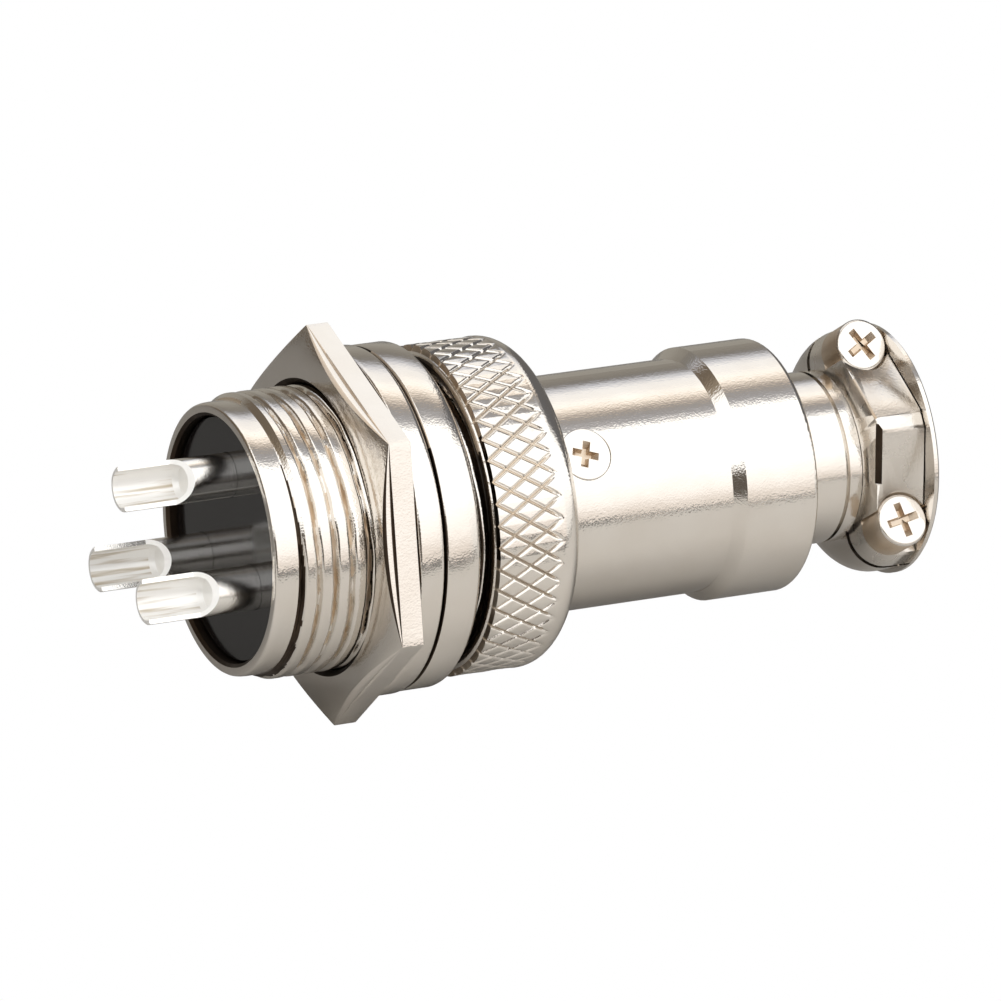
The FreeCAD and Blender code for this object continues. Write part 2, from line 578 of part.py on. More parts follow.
def knurl_band():
    """Band of pyramids around the coupling ring, with flat ends."""
    count = int(number("sizes.knurl_count"))
    rows = int(number("sizes.knurl_rows"))
    start = number(KNURL_START)
    spacing = (number(KNURL_END) - start) / rows
    tip_radius = number(RING_RADIUS + " - sizes.knurl_drop")
    root_radius = tip_radius - number("sizes.knurl_depth")

    def point(row, half_step):
        """Corner of the net: tips where row and half step are both even or both odd."""
        radius = tip_radius if (row + half_step) % 2 == 0 else root_radius
        angle = math.pi * half_step / count
        return Vector(start + spacing * row, radius * math.sin(angle), radius * math.cos(angle))

    faces = []
    for row in range(rows):
        for half_step in range(2 * count):
            corners = [point(row, half_step), point(row, half_step + 1),
                       point(row + 1, half_step + 1), point(row + 1, half_step)]
            if (row + half_step) % 2 == 0:
                triangles = (corners[0], corners[1], corners[3]), (corners[2], corners[3], corners[1])
            else:
                triangles = (corners[1], corners[2], corners[0]), (corners[3], corners[0], corners[2])
            for triangle in triangles:
                faces.append(Part.Face(Part.makePolygon(list(triangle) + [triangle[0]])))
    for row in (0, rows):
        ring = [point(row, half_step) for half_step in range(2 * count)]
        faces.append(Part.Face(Part.makePolygon(ring + [ring[0]])))
    band = doc.addObject("Part::Feature", "knurl_band")
    band.Shape = Part.makeSolid(Part.makeShell(faces))
    return band


def coupling_ring():
    """Knurled ring with an internal thread, which pulls the plug home."""
    root = RING_RADIUS[:-1] + " - sizes.knurl_drop - sizes.knurl_depth - sizes.edge_break)"
    wall = RING_REAR + " - sizes.ring_wall"
    hole = BARREL_RADIUS[:-1] + " + sizes.ring_play)"
    mouth = THREAD_BORE[:-1] + " + sizes.ring_lead)"
    body = turned("ring_blank", [
        (RING_FRONT, mouth),
        (RING_FRONT, root + " - sizes.knurl_margin"),
        (KNURL_START, root),
        (KNURL_END, root),
        (KNURL_END, RING_RADIUS),
        (RING_REAR + " - sizes.ring_round", RING_RADIUS, "sizes.ring_round"),
        (RING_REAR, RING_RADIUS + " - sizes.ring_round"),
        (RING_REAR, hole),
        (wall, hole),
        (wall, THREAD_BORE),
        (RING_FRONT + " + sizes.ring_lead", THREAD_BORE),
    ])
    hollow = rod("knurl_hollow", mouth, KNURL_START + " - sizes.knurl_margin",
                 KNURL_END + " + sizes.knurl_margin")
    band = cut("knurl_sleeve", knurl_band(), [hollow])
    return joined("coupling_ring", [body, band])


def plug_body():
    """Plug shell: keyed nose, stop flange and threaded tail."""
    groove = SNAP_OUTER[:-1] + " + sizes.fit_play)"
    body = turned("plug_blank", [
        (NOSE_FRONT, NOSE_BORE),
        (NOSE_FRONT, NOSE_RADIUS + " - sizes.edge_break * 2"),
        (NOSE_FRONT + " + sizes.edge_break * 2", NOSE_RADIUS),
        (STOP_FRONT, NOSE_RADIUS),
        (STOP_FRONT, STOP_RADIUS),
        (STOP_REAR, STOP_RADIUS),
        (STOP_REAR, TAIL_RADIUS),
        (TAIL_END + " - sizes.edge_break", TAIL_RADIUS),
        (TAIL_END, TAIL_RADIUS + " - sizes.edge_break"),
        (TAIL_END, TAIL_BORE),
        (PLUG_SHOULDER, TAIL_BORE),
        (PLUG_SHOULDER, NOSE_BORE),
        (SNAP_END, NOSE_BORE),
        (SNAP_END, groove),
        (SNAP_START, groove),
        (SNAP_START, NOSE_BORE),
    ])
    key_start = NOSE_FRONT + " + sizes.nose_lip"
    key = block("plug_key", (key_start, key_start + " + sizes.key_length"),
                ("-sizes.key_width / 2", "sizes.key_width / 2"),
                (NOSE_BORE + " + sizes.key_height", NOSE_RADIUS + " + sizes.key_height"))
    keyed = joined("plug_keyed", [body, key])
    rise = TAIL_RADIUS[:-1] + " - sizes.set_bite)"
    dimple = post("set_screw_dimple", "sizes.set_tip + sizes.screw_play", rise, BARREL_RADIUS,
                  SET_STATION)
    clocked(dimple, "sizes.set_clock")
    bind(dimple, Placement__Base__y="-%s * sin(sizes.set_clock)" % rise,
         Placement__Base__z="%s * cos(sizes.set_clock)" % rise)
    return cut("plug_body", keyed, [dimple])


def plug_insulator():
    """Moulded block that holds the three sockets, stepped for its retaining ring."""
    outer = NOSE_BORE[:-1] + " - sizes.fit_play)"
    step = SNAP_INNER[:-1] + " - sizes.fit_play)"
    body = turned("plug_insulator_blank", [
        (NOSE_FRONT, "0"),
        (NOSE_FRONT, step),
        (SNAP_END, step),
        (SNAP_END, outer),
        (PLUG_SHOULDER, outer),
        (PLUG_SHOULDER, "0"),
    ])
    holes = contact_holes("plug_insulator", NOSE_FRONT, SOCKET_FRONT, PLUG_SHOULDER,
                          "sizes.pin_radius + sizes.socket_play",
                          "sizes.socket_radius + sizes.fit_play")
    return cut("plug_insulator", body, holes)


def socket_contact(index):
    """Turned socket: a bore for the pin in front and a scooped solder cup behind."""
    name = "socket_contact_%d" % (index + 1)
    tip = PLUG_SHOULDER + " + sizes.socket_tail"
    body = turned(name + "_blank", [
        (SOCKET_FRONT, "sizes.pin_radius + sizes.socket_play"),
        (SOCKET_FRONT, "sizes.socket_radius"),
        (PLUG_SHOULDER, "sizes.socket_radius"),
        (PLUG_SHOULDER, "sizes.cup_radius"),
        (tip, "sizes.cup_radius"),
        (tip, "sizes.cup_bore"),
        (tip + " - sizes.socket_cup_depth", "sizes.cup_bore"),
        (tip + " - sizes.socket_cup_depth", "0"),
        (SOCKET_FRONT + " + sizes.socket_depth", "0"),
        (SOCKET_FRONT + " + sizes.socket_depth", "sizes.pin_radius + sizes.socket_play"),
    ])
    reach = "(sizes.cup_radius + sizes.edge_break)"
    opening = block(name + "_scoop",
                    (tip + " - sizes.socket_cup_depth / 2", tip + " + sizes.edge_break"),
                    ("-" + reach, reach), ("sizes.scoop_floor", reach))
    return placed_contact(cut(name, body, [opening]), index)


def retaining_ring():
    """Split spring ring that keeps the plug insulator on its shoulder."""
    ring = turned("retaining_ring_blank", [
        (SNAP_START, SNAP_INNER),
        (SNAP_START, SNAP_OUTER),
        (SNAP_END, SNAP_OUTER),
        (SNAP_END, SNAP_INNER),
    ])
    opening = block("retaining_ring_opening",
                    (SNAP_START + " - sizes.edge_break", SNAP_END + " + sizes.edge_break"),
                    ("-sizes.snap_opening / 2", "sizes.snap_opening / 2"),
                    ("-%s - sizes.edge_break" % SNAP_OUTER, "0"))
    return cut("retaining_ring", ring, [opening])


def barrel():
    """Long sleeve of the plug with a conical step, screwed onto the tail of the plug body."""
    neck_hole = SPIGOT_RADIUS[:-1] + " + sizes.tail_play)"
    body = turned("barrel_blank", [
        (STOP_REAR, TAIL_HOLE),
        (STOP_REAR, BARREL_RADIUS + " - sizes.edge_break"),
        (STOP_REAR + " + sizes.edge_break", BARREL_RADIUS),
        (STEP_START, BARREL_RADIUS),
        (STEP_END, GRIP_RADIUS),
        (BARREL_END + " - sizes.barrel_round", GRIP_RADIUS, "sizes.barrel_round"),
        (BARREL_END, GRIP_RADIUS + " - sizes.barrel_round"),
        (BARREL_END, neck_hole),
        (BARREL_FLOOR, neck_hole),
        (BARREL_FLOOR, CAVITY_RADIUS),
        (TAIL_END, CAVITY_RADIUS),
        (TAIL_END, TAIL_HOLE),
    ])
    hole = post("set_screw_hole", "sizes.set_radius + sizes.screw_play", "0",
                BARREL_RADIUS + " + sizes.edge_break", SET_STATION)
    clocked(hole, "sizes.set_clock")
    return cut("barrel", body, [hole])


def cross_recess(name, top, depth, tilt):
    """Cutter for the cross recess of a screw that points to +Z."""
    long_way = ("-sizes.cross_span / 2", "sizes.cross_span / 2")
    short_way = ("-sizes.cross_width / 2", "sizes.cross_width / 2")
    height = ("(%s - %s)" % (top, depth), "(%s + sizes.edge_break)" % top)
    cross = joined(name, [block(name + "_arm_1", long_way, short_way, height),
                          block(name + "_arm_2", short_way, long_way, height)])
    cross.Placement = Placement(Vector(), Rotation(Z_AXIS, number(tilt)))
    bind(cross, Placement__Rotation__Angle="%s * 1 deg" % tilt)
    return cross


def set_screw():
    """Flush set screw that locks the barrel to the tail of the plug body."""
    top = BARREL_RADIUS[:-1] + " - sizes.set_sink)"
    seat = TAIL_RADIUS[:-1] + " + sizes.screw_play)"
    tip = TAIL_RADIUS[:-1] + " - sizes.set_bite + sizes.screw_play)"
    body = turned("set_screw_blank", [
        (top, "0"),
        (top, "sizes.set_radius - sizes.edge_break"),
        (top + " - sizes.edge_break", "sizes.set_radius"),
        (seat, "sizes.set_radius"),
        (seat, "sizes.set_tip"),
        (tip, "sizes.set_tip"),
        (tip, "0"),
    ], upright=True)
    cross = cross_recess("set_screw_cross", top, "sizes.set_cross_depth", "sizes.set_cross_tilt")
    screw = cut("set_screw", body, [cross])
    clocked(screw, "sizes.set_clock")
    bind(screw, Placement__Base__x=SET_STATION)
    return screw


def clamp_holes(name, radius, low, high):
    """Cutters for the two clamp screws, in the frame where the saddle faces +Z."""
    return [post("%s_%d" % (name, side), radius, low, high, CLAMP_MIDDLE,
                 "(%d * %s)" % (sign, SCREW_SPREAD)) for side, sign in ((1, 1), (2, -1))]


def clamp_neck():
    """Cable neck: spigot, grooved collars, fixed jaw and end lip in one turned piece."""
    body = turned("neck_blank", [
        (SPIGOT_START, "sizes.cable_bore"),
        (SPIGOT_START, SPIGOT_RADIUS),
        (BARREL_END, SPIGOT_RADIUS),
        (BARREL_END, NECK_RADIUS),
        (NECK_END, NECK_RADIUS),
        (NECK_END, GROOVE_RADIUS),
        (GROOVE_END, GROOVE_RADIUS),
        (GROOVE_END, NECK_RADIUS),
        (COLLAR_END + " - sizes.edge_break", NECK_RADIUS),
        (COLLAR_END, NECK_RADIUS + " - sizes.edge_break"),
        (COLLAR_END, THROAT_RADIUS),
        (JAW_START, THROAT_RADIUS),
        (JAW_START, JAW_RADIUS + " - sizes.jaw_dome", "sizes.jaw_dome"),
        (JAW_START + " + sizes.jaw_dome", JAW_RADIUS),
        (LIP_START, JAW_RADIUS),
        (LIP_START, LIP_RADIUS),
        (LIP_END + " - sizes.edge_break", LIP_RADIUS),
        (LIP_END, LIP_RADIUS + " - sizes.edge_break"),
        (LIP_END, "sizes.cable_bore"),
    ])
    across = ("-" + CLAMP_ROOM, CLAMP_ROOM)
    window = block("saddle_window", (JAW_START, LIP_START), across, ("0", CLAMP_ROOM))
    depth = "(-sizes.screw_bite - sizes.screw_relief)"
    holes = clamp_holes("neck_screw_hole", "sizes.screw_radius + sizes.screw_play", depth,
                        "sizes.edge_break")
    neck = cut("clamp_neck", cut("neck_windowed", body, [window]), holes)
    clocked(neck, "sizes.clamp_clock")
    return neck


def clamp_saddle():
    """Loose jaw of the clamp: two facets that meet in a ridge, and an ear at each side."""
    across = ("-" + CLAMP_ROOM, CLAMP_ROOM)
    corner = "(%s / cos(30))" % SADDLE_APOTHEM
    bevel = "sizes.saddle_bevel"
    ears = turned("saddle_ear_blank", [
        (JAW_START, "sizes.cable_bore"),
        (JAW_START, JAW_RADIUS + " - sizes.jaw_dome", "sizes.jaw_dome"),
        (JAW_START + " + sizes.jaw_dome", JAW_RADIUS),
        (SADDLE_END, JAW_RADIUS),
        (SADDLE_END, "sizes.cable_bore"),
    ])
    base = common("saddle_base", ears, block("saddle_base_zone", (JAW_START, SADDLE_END), across,
                                             ("sizes.clamp_gap", "sizes.ear_height")))
    prism = doc.addObject("Part::Prism", "saddle_prism")
    prism.Polygon = 6
    prism.Placement = Placement(Vector(), Rotation(Y_AXIS, 90))
    bind(prism, Circumradius=corner, Height="(%s) - (%s)" % (SADDLE_END, JAW_START))
    bind(prism, Placement__Base__x=JAW_START)
    envelope = turned("saddle_envelope", [
        (JAW_START, "sizes.cable_bore"),
        (JAW_START, corner + " - " + bevel),
        (JAW_START + " + " + bevel, corner),
        (SADDLE_END + " - " + bevel, corner),
        (SADDLE_END, corner + " - " + bevel),
        (SADDLE_END, "sizes.cable_bore"),
    ])
    crown = common("saddle_crown", common("saddle_facets", prism, envelope),
                   block("saddle_crown_zone", (JAW_START, SADDLE_END), across,
                         ("sizes.ear_height", CLAMP_ROOM)))
    seats = clamp_holes("saddle_screw_seat", "sizes.head_radius + sizes.head_play",
                        "sizes.ear_height", CLAMP_ROOM)
    holes = clamp_holes("saddle_screw_hole", "sizes.screw_radius + sizes.screw_play * 2", "0",
                        CLAMP_ROOM)
    for side, zone in ((1, (SCREW_SPREAD, CLAMP_ROOM)), (2, ("-" + CLAMP_ROOM, "-" + SCREW_SPREAD))):
        seats.append(block("saddle_screw_step_%d" % side, (JAW_START, SADDLE_END), zone,
                           ("sizes.ear_height", CLAMP_ROOM)))
    saddle = cut("clamp_saddle", joined("saddle_whole", [base, crown]), seats + holes)
    clocked(saddle, "sizes.clamp_clock")
    return saddle


def clamp_screw(name, side, tilt):
    """Cheese-head clamp screw with a cross recess; side is +1 for the upper one."""
    top = "(sizes.ear_height + sizes.head_height)"
    body = turned(name + "_blank", [
        (top, "0"),
        (top, "sizes.head_radius - sizes.head_bevel"),
        (top + " - sizes.head_bevel", "sizes.head_radius"),
        ("sizes.ear_height", "sizes.head_radius"),
        ("sizes.ear_height", "sizes.screw_radius"),
        ("-sizes.screw_bite + sizes.edge_break", "sizes.screw_radius"),
        ("-sizes.screw_bite", "sizes.screw_radius - sizes.edge_break"),
        ("-sizes.screw_bite", "0"),
    ], upright=True)
    screw = cut(name, body, [cross_recess(name + "_cross", top, "sizes.cross_depth", tilt)])
    clocked(screw, "sizes.clamp_clock")
    offset = "(%d * %s)" % (side, SCREW_SPREAD)
    bind(screw, Placement__Base__x=CLAMP_MIDDLE)
    bind(screw, Placement__Base__y="%s * cos(sizes.clamp_clock)" % offset)
    bind(screw, Placement__Base__z="%s * sin(sizes.clamp_clock)" % offset)
    return screw


def build():
    """Make every piece and return them in order from the solder cups to the cable clamp."""
    pieces = [receptacle_shell(), receptacle_insulator()]
    pieces += [contact_pin(index) for index in range(CONTACT_COUNT)]
    pieces += [panel_nut(), panel_washer(), coupling_ring(), plug_body(), plug_insulator()]
    pieces += [socket_contact(index) for index in range(CONTACT_COUNT)]
    pieces += [retaining_ring(), barrel(), set_screw(), clamp_neck(), clamp_saddle()]
    pieces.append(clamp_screw("clamp_screw_upper", 1, "sizes.upper_cross_tilt"))
    pieces.append(clamp_screw("clamp_screw_lower", -1, "sizes.lower_cross_tilt"))
    return pieces


def check(pieces):
    """Stop if any object failed or any piece is not one valid solid."""
    for item in doc.Objects:
        if "Invalid" in item.State or "Error" in item.State:
            raise RuntimeError("%s failed: %s" % (item.Label, item.State))
    for piece in pieces:
        shape = piece.Shape
        if shape.isNull() or not shape.isValid() or len(shape.Solids) != 1:
            raise RuntimeError("%s is not one valid solid" % piece.Label)


pieces = build()
doc.recompute()
check(pieces)
os.makedirs("parts", exist_ok=True)
for piece in pieces:
    piece.Shape.exportStep("parts/%s.step" % piece.Label)
    print("%-22s %10.3f mm3" % (piece.Label, piece.Shape.Volume))
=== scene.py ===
"""Looks of a circular three-contact connector pair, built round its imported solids.

The panel receptacle points its solder cups to -X and the cable plug points its clamp to +X. Clock
angles turn about the X axis, from +Z towards -Y, which is the side that the camera sees.
"""

import math

import bmesh
import bpy
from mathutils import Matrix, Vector


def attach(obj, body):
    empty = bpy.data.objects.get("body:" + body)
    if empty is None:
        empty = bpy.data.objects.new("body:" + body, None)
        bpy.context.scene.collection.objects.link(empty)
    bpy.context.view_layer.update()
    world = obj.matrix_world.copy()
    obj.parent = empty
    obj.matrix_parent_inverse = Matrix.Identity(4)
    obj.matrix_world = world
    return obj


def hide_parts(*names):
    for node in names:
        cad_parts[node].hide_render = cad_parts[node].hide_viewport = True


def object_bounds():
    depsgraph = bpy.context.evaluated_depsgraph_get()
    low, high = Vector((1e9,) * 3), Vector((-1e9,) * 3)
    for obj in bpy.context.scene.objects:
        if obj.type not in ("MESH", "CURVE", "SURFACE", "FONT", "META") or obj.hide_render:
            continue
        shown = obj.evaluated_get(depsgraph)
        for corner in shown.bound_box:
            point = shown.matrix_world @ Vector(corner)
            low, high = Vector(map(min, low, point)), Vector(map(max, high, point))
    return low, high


bl_info = {
    "name": "Circular connector pair",
    "version": (1, 0, 0),
    "blender": (4, 5, 0),
    "location": "3D View > Sidebar > Connector",
    "description": "Threads, knurl, plating and studio of a three-contact connector pair",
    "category": "Object",
}

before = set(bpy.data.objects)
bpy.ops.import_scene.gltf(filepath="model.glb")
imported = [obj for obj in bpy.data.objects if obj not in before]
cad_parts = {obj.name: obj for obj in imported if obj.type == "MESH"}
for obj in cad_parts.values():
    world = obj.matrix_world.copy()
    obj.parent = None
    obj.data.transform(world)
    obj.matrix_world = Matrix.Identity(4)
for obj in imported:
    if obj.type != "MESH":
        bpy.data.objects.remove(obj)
CAD_BOX = [list(corner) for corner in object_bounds()]
MM = 0.001
TURN = 2 * math.pi


def linear(code):
    """Linear red, green and blue of an sRGB hex colour."""
    channels = [int(code[place:place + 2], 16) / 255 for place in (1, 3, 5)]
    return [c / 12.92 if c <= 0.04045 else ((c + 0.055) / 1.055) ** 2.4 for c in channels]


def length(name, description, value):
    """Size property, given in millimetres."""
    return bpy.props.FloatProperty(name=name, description=description, default=value * MM,
                                   unit="LENGTH", precision=5)


def colour(name, description, code):
    """Colour property, given as an sRGB hex value."""
    return bpy.props.FloatVectorProperty(name=name, description=description, subtype="COLOR",
                                         size=3, min=0, max=1, default=linear(code))


class ShellSizes(bpy.types.PropertyGroup):
    """Receptacle shell with its panel thread, flange and coupling thread."""

    crest: length("Crest radius", "Crest of both threads", 7.9)
    pitch: length("Pitch", "Advance of one turn", 1.0)
    depth: length("Depth", "Depth of the grooves", 0.34)
    groove: length("Groove width", "Width of a groove at half its depth", 0.24)
    band: length("Band radius", "Plain band behind the panel thread", 7.55)
    panel_start: length("Panel thread start", "Rear end of the panel thread", -7.85)
    panel_end: length("Panel thread end", "Front end of the panel thread", -0.2)
    coupling_start: length("Coupling thread start", "Rear end of the coupling thread", 2.55)
    coupling_end: length("Coupling thread end", "Front end of the coupling thread", 7.2)
    rim: length("Rim", "Rear end of the shell", -9.17)
    rim_bore: length("Rim bore", "Bore round the insulator", 6.84)
    flange: length("Flange radius", "Flange that seats on the panel", 9.6)
    flange_front: length("Flange front", "Front face of the flange", 2.29)
    mating_bore: length("Mating bore", "Bore that takes the nose of the plug", 6.4)
    keyway: length("Keyway", "Axis to the bottom of the keyway", 6.88)
    seat: length("Seat", "Front face of the insulator", -3.2)


class NutSizes(bpy.types.PropertyGroup):
    """Panel nut and its washer."""

    apothem: length("Apothem", "Axis to the middle of a facet", 9.65)
    corner: length("Corner radius", "Axis to a worn corner", 11.13)
    rear: length("Rear", "Rear face of the nut", -3.66)
    crease: length("Crease", "Where the leaning strip of a facet ends", -3.0)
    front: length("Front", "Front face of the nut", -1.7)
    crown: length("Crown", "Fall of the crown from the middle of a facet to a corner", 0.62)
    lean: length("Lean", "How far the strip leans inwards", 0.14)
    bore: length("Bore", "Bore over the panel thread", 7.95)
    washer_rear: length("Washer rear", "Rear face of the washer", -1.65)
    washer_front: length("Washer front", "Front face of the washer", -0.05)
    washer_radius: length("Washer radius", "Outside of the washer", 9.67)
    washer_bore: length("Washer bore", "Bore over the panel thread", 8.1)
    washer_round: length("Washer round", "Radius of the washer's edges", 0.3)


class ContactSizes(bpy.types.PropertyGroup):
    """Contact pins and their solder cups."""

    circle: length("Circle", "Axis to the middle of a contact", 3.65)
    tip: length("Tip", "Rear end of the solder cups", -15.0)
    cup: length("Cup radius", "Outside of a solder cup", 1.25)
    bore: length("Cup bore", "Inside of a solder cup", 1.0)
    bottom: length("Cup bottom", "Front end of the bore of a cup", -11.1)
    shoulder: length("Shoulder", "Where a pin gets thinner, inside the insulator", -5.5)
    pin: length("Pin radius", "Mating pin", 1.0)
    end: length("Pin end", "Front end of the pins", 3.6)


class RingSizes(bpy.types.PropertyGroup):
    """Coupling ring and its diamond knurl."""

    diamonds: bpy.props.IntProperty(name="Diamonds", description="Diamonds around the ring",
                                    default=47, min=12)
    rows: bpy.props.IntProperty(name="Rows", description="Half diamonds along the band",
                                default=4, min=2)
    front: length("Front", "Front end of the ring", 3.19)
    rear: length("Rear", "Rear end of the ring", 8.66)
    knurl_start: length("Knurl start", "Front end of the knurl", 3.44)
    knurl_end: length("Knurl end", "Rear end of the knurl", 7.28)
    radius: length("Radius", "Plain rear shoulder", 9.25)
    depth: length("Knurl depth", "Height of the diamonds", 0.24)
    groove: length("Knurl groove", "Half the width of a groove between diamonds", 0.22)
    shoulder: length("Shoulder round", "Radius of the rounded rear shoulder", 1.3)
    bore: length("Bore", "Bore over the coupling thread", 7.95)
    lead: length("Lead", "Bevel at the mouth of the bore", 0.35)
    wall: length("Wall", "Thickness of the rear wall", 0.63)
    hole: length("Hole", "Hole in the rear wall, round the barrel", 6.62)


class FinishColours(bpy.types.PropertyGroup):
    """Colours of the plated and moulded parts."""

    nickel: colour("Nickel", "Bright nickel plate", "#e6e2dc")
    stain: colour("Nickel shade", "Duller patches of the nickel plate", "#dad3ca")
    screw: colour("Screw plate", "Plate of the screws", "#e6e2dd")
    # Painted shade: a tan that stands in for shade and warm reflections in recesses and grooves.
    recess: colour("Recess", "Pressed cross recesses, where the plate is thin", "#c9ae8b")
    # Painted shade: a dark brown that stands in for the shade in seams, bores and hidden faces.
    seam_shade: colour("Tarnish", "Seams and hidden faces that stay unpolished", "#5a4c3f")
    silver: colour("Silver", "Plate of the contacts", "#f6f5f2")
    solder: colour("Cup streaks", "Drawn streaks inside the solder cups", "#b9aa92")
    spring: colour("Spring steel", "Split retaining ring", "#a9abad")
    moulding: colour("Moulding", "Black insulators", "#0c0c0e")
    floor: colour("Floor", "Pale table under the connector", "#dcd9d4")


class StudioSizes(bpy.types.PropertyGroup):
    """Camera and light tent."""

    azimuth: bpy.props.FloatProperty(name="Azimuth", description="Camera around the connector",
                                     subtype="ANGLE", default=math.radians(-26.2))
    elevation: bpy.props.FloatProperty(name="Elevation", description="Camera above the horizon",
                                       subtype="ANGLE", default=math.radians(16.6))
    distance: length("Distance", "Camera to the point that it looks at", 515)
    aim: length("Aim", "Point on the axis that the camera looks at", 7.96)
    lens: bpy.props.FloatProperty(name="Lens", description="Focal length in millimetres",
                                  default=335.2, min=1)
    tent: length("Tent radius", "Light tent round the connector", 600)


GROUPS = {"connector_shell": ShellSizes, "connector_nut": NutSizes,
          "connector_contacts": ContactSizes, "connector_ring": RingSizes,
          "connector_finish": FinishColours, "connector_studio": StudioSizes}


def add_node(tree, kind, settings=None, sockets=None):
    """Adds a node. Sockets take values, or the outputs of other nodes."""
    made = tree.nodes.new(kind)
    for name, value in (settings or {}).items():
        setattr(made, name, value)
    for name, value in (sockets or {}).items():
        if isinstance(value, bpy.types.NodeSocket):
            tree.links.new(value, made.inputs[name])
        else:
            made.inputs[name].default_value = value
    return made


def new_material(name):
    """Empty node material, or None where it is already made."""
    if name in bpy.data.materials:
        return None
    made = bpy.data.materials.new(name)
    made.use_nodes = True
    made.node_tree.nodes.clear()
    return made


def plated_metal(name, plate, shade, dull, peel, grain):
    """Bright plate on turned brass, with the fine ripple that plating leaves.

    To the eye it is a mirror whose reflections have soft, crumbly edges, a little duller and
    yellower in patches. Peel and grain are the sizes of its ripple and its pits in millimetres.
    Real ones are finer, and they are drawn as coarse as they need to show.
    """
    made = new_material(name)
    if made is None:
        return bpy.data.materials[name]
    tree = made.node_tree
    place = add_node(tree, "ShaderNodeTexCoord").outputs["Object"]
    patches = add_node(tree, "ShaderNodeTexNoise",
                       sockets={"Vector": place, "Scale": 1 / (2.6 * MM), "Detail": 3.0})
    ripple = add_node(tree, "ShaderNodeTexNoise",
                      sockets={"Vector": place, "Scale": 1 / (peel * MM), "Detail": 2.0})
    pits = add_node(tree, "ShaderNodeTexNoise",
                    sockets={"Vector": place, "Scale": 1 / (grain * MM), "Detail": 1.0})
    tint = add_node(tree, "ShaderNodeMix", {"data_type": "RGBA"},
                    {"Factor": patches.outputs["Fac"], "A": (*plate, 1), "B": (*shade, 1)})
    dulled = add_node(tree, "ShaderNodeMapRange",
                      sockets={"Value": patches.outputs["Fac"], "From Min": 0.3, "From Max": 0.7,
                               "To Min": dull * 0.7, "To Max": dull * 1.3})
    coarse = add_node(tree, "ShaderNodeBump",
                      sockets={"Height": ripple.outputs["Fac"], "Strength": 0.35,
                               "Distance": 0.05 * peel * MM})
    fine = add_node(tree, "ShaderNodeBump",
                    sockets={"Height": pits.outputs["Fac"], "Strength": 0.7,
                             "Distance": 0.09 * grain * MM, "Normal": coarse.outputs["Normal"]})
    shader = add_node(tree, "ShaderNodeBsdfPrincipled",
                      sockets={"Base Color": tint.outputs["Result"], "Metallic": 1.0,
                               "Roughness": dulled.outputs["Result"],
                               "Normal": fine.outputs["Normal"]})
    add_node(tree, "ShaderNodeOutputMaterial", sockets={"Surface": shader.outputs["BSDF"]})
    return made


def nickel_plate():
    """Nickel plate of the shells, the nut and the barrel: bright, barely rippled."""
    finish = bpy.context.scene.connector_finish
    return plated_metal("Bright nickel plate", finish.nickel, finish.stain, 0.12, 0.3, 0.11)


def nickel_jaw():
    """Nickel plate over the cast saddle: the same colour, duller, with a coarser skin."""
    finish = bpy.context.scene.connector_finish
    return plated_metal("Nickel plate on a casting", finish.nickel, finish.stain, 0.27, 0.4, 0.15)


def screw_plate():
    """Nickel plate on headed steel screws: bright, with pressed, softer recesses."""
    finish = bpy.context.scene.connector_finish
    return plated_metal("Nickel plate on steel", finish.screw, finish.stain, 0.16, 0.25, 0.08)


def silver_plate():
    """Silver plate of the contacts: whiter and softer than the nickel, drawn along the bore."""
    finish = bpy.context.scene.connector_finish
    return plated_metal("Silver plate", finish.silver, finish.nickel, 0.18, 0.22, 0.07)


def cup_plate(name, least):
    """Silver inside the solder cups: softer, with pale brown streaks drawn along the bore.

    Streaks show where the noise is above least, so a higher one gives fewer of them. They are
    drawn 0.26 mm wide, coarser than a real drill leaves them, so that they show.
    """
    finish = bpy.context.scene.connector_finish
    made = new_material(name)
    if made is None:
        return bpy.data.materials[name]
    tree = made.node_tree
    place = add_node(tree, "ShaderNodeTexCoord").outputs["Object"]
    drawn = add_node(tree, "ShaderNodeMapping",
                     sockets={"Vector": place, "Scale": (0.05, 1, 1)})
    streaks = add_node(tree, "ShaderNodeTexNoise",
                       sockets={"Vector": drawn.outputs["Vector"], "Scale": 1 / (0.26 * MM),
                                "Detail": 3.0})
    amount = add_node(tree, "ShaderNodeMapRange",
                      sockets={"Value": streaks.outputs["Fac"], "From Min": least,
                               "From Max": least + 0.22})
    tint = add_node(tree, "ShaderNodeMix", {"data_type": "RGBA"},
                    {"Factor": amount.outputs["Result"], "A": (*finish.silver, 1),
                     "B": (*finish.solder, 1)})
    dulled = add_node(tree, "ShaderNodeMapRange",
                      sockets={"Value": streaks.outputs["Fac"], "From Min": 0.3, "From Max": 0.7,
                               "To Min": 0.3, "To Max": 0.45})
    bumps = add_node(tree, "ShaderNodeBump",
                     sockets={"Height": streaks.outputs["Fac"], "Strength": 0.5,
                              "Distance": 0.03 * MM})
    shader = add_node(tree, "ShaderNodeBsdfPrincipled",
                      sockets={"Base Color": tint.outputs["Result"], "Metallic": 0.35,
                               "Roughness": dulled.outputs["Result"],
                               "Normal": bumps.outputs["Normal"]})
    add_node(tree, "ShaderNodeOutputMaterial", sockets={"Surface": shader.outputs["BSDF"]})
    return made


def dark_painted_shade():
    """Painted shade in seams, under the nut and in bores: dark brown, barely shining."""
    finish = bpy.context.scene.connector_finish
    return plated_metal("Painted dark shade in the seams", finish.seam_shade, finish.moulding, 0.4, 0.2, 0.08)


def tan_painted_shade():
    """Painted shade: a tan tone in the pressed cross recesses, the roots of threads and knurl, and
    on lit faces beside seams.
    """
    finish = bpy.context.scene.connector_finish
    return plated_metal("Painted tan shade in recesses", finish.recess, finish.stain, 0.4, 0.2, 0.08)


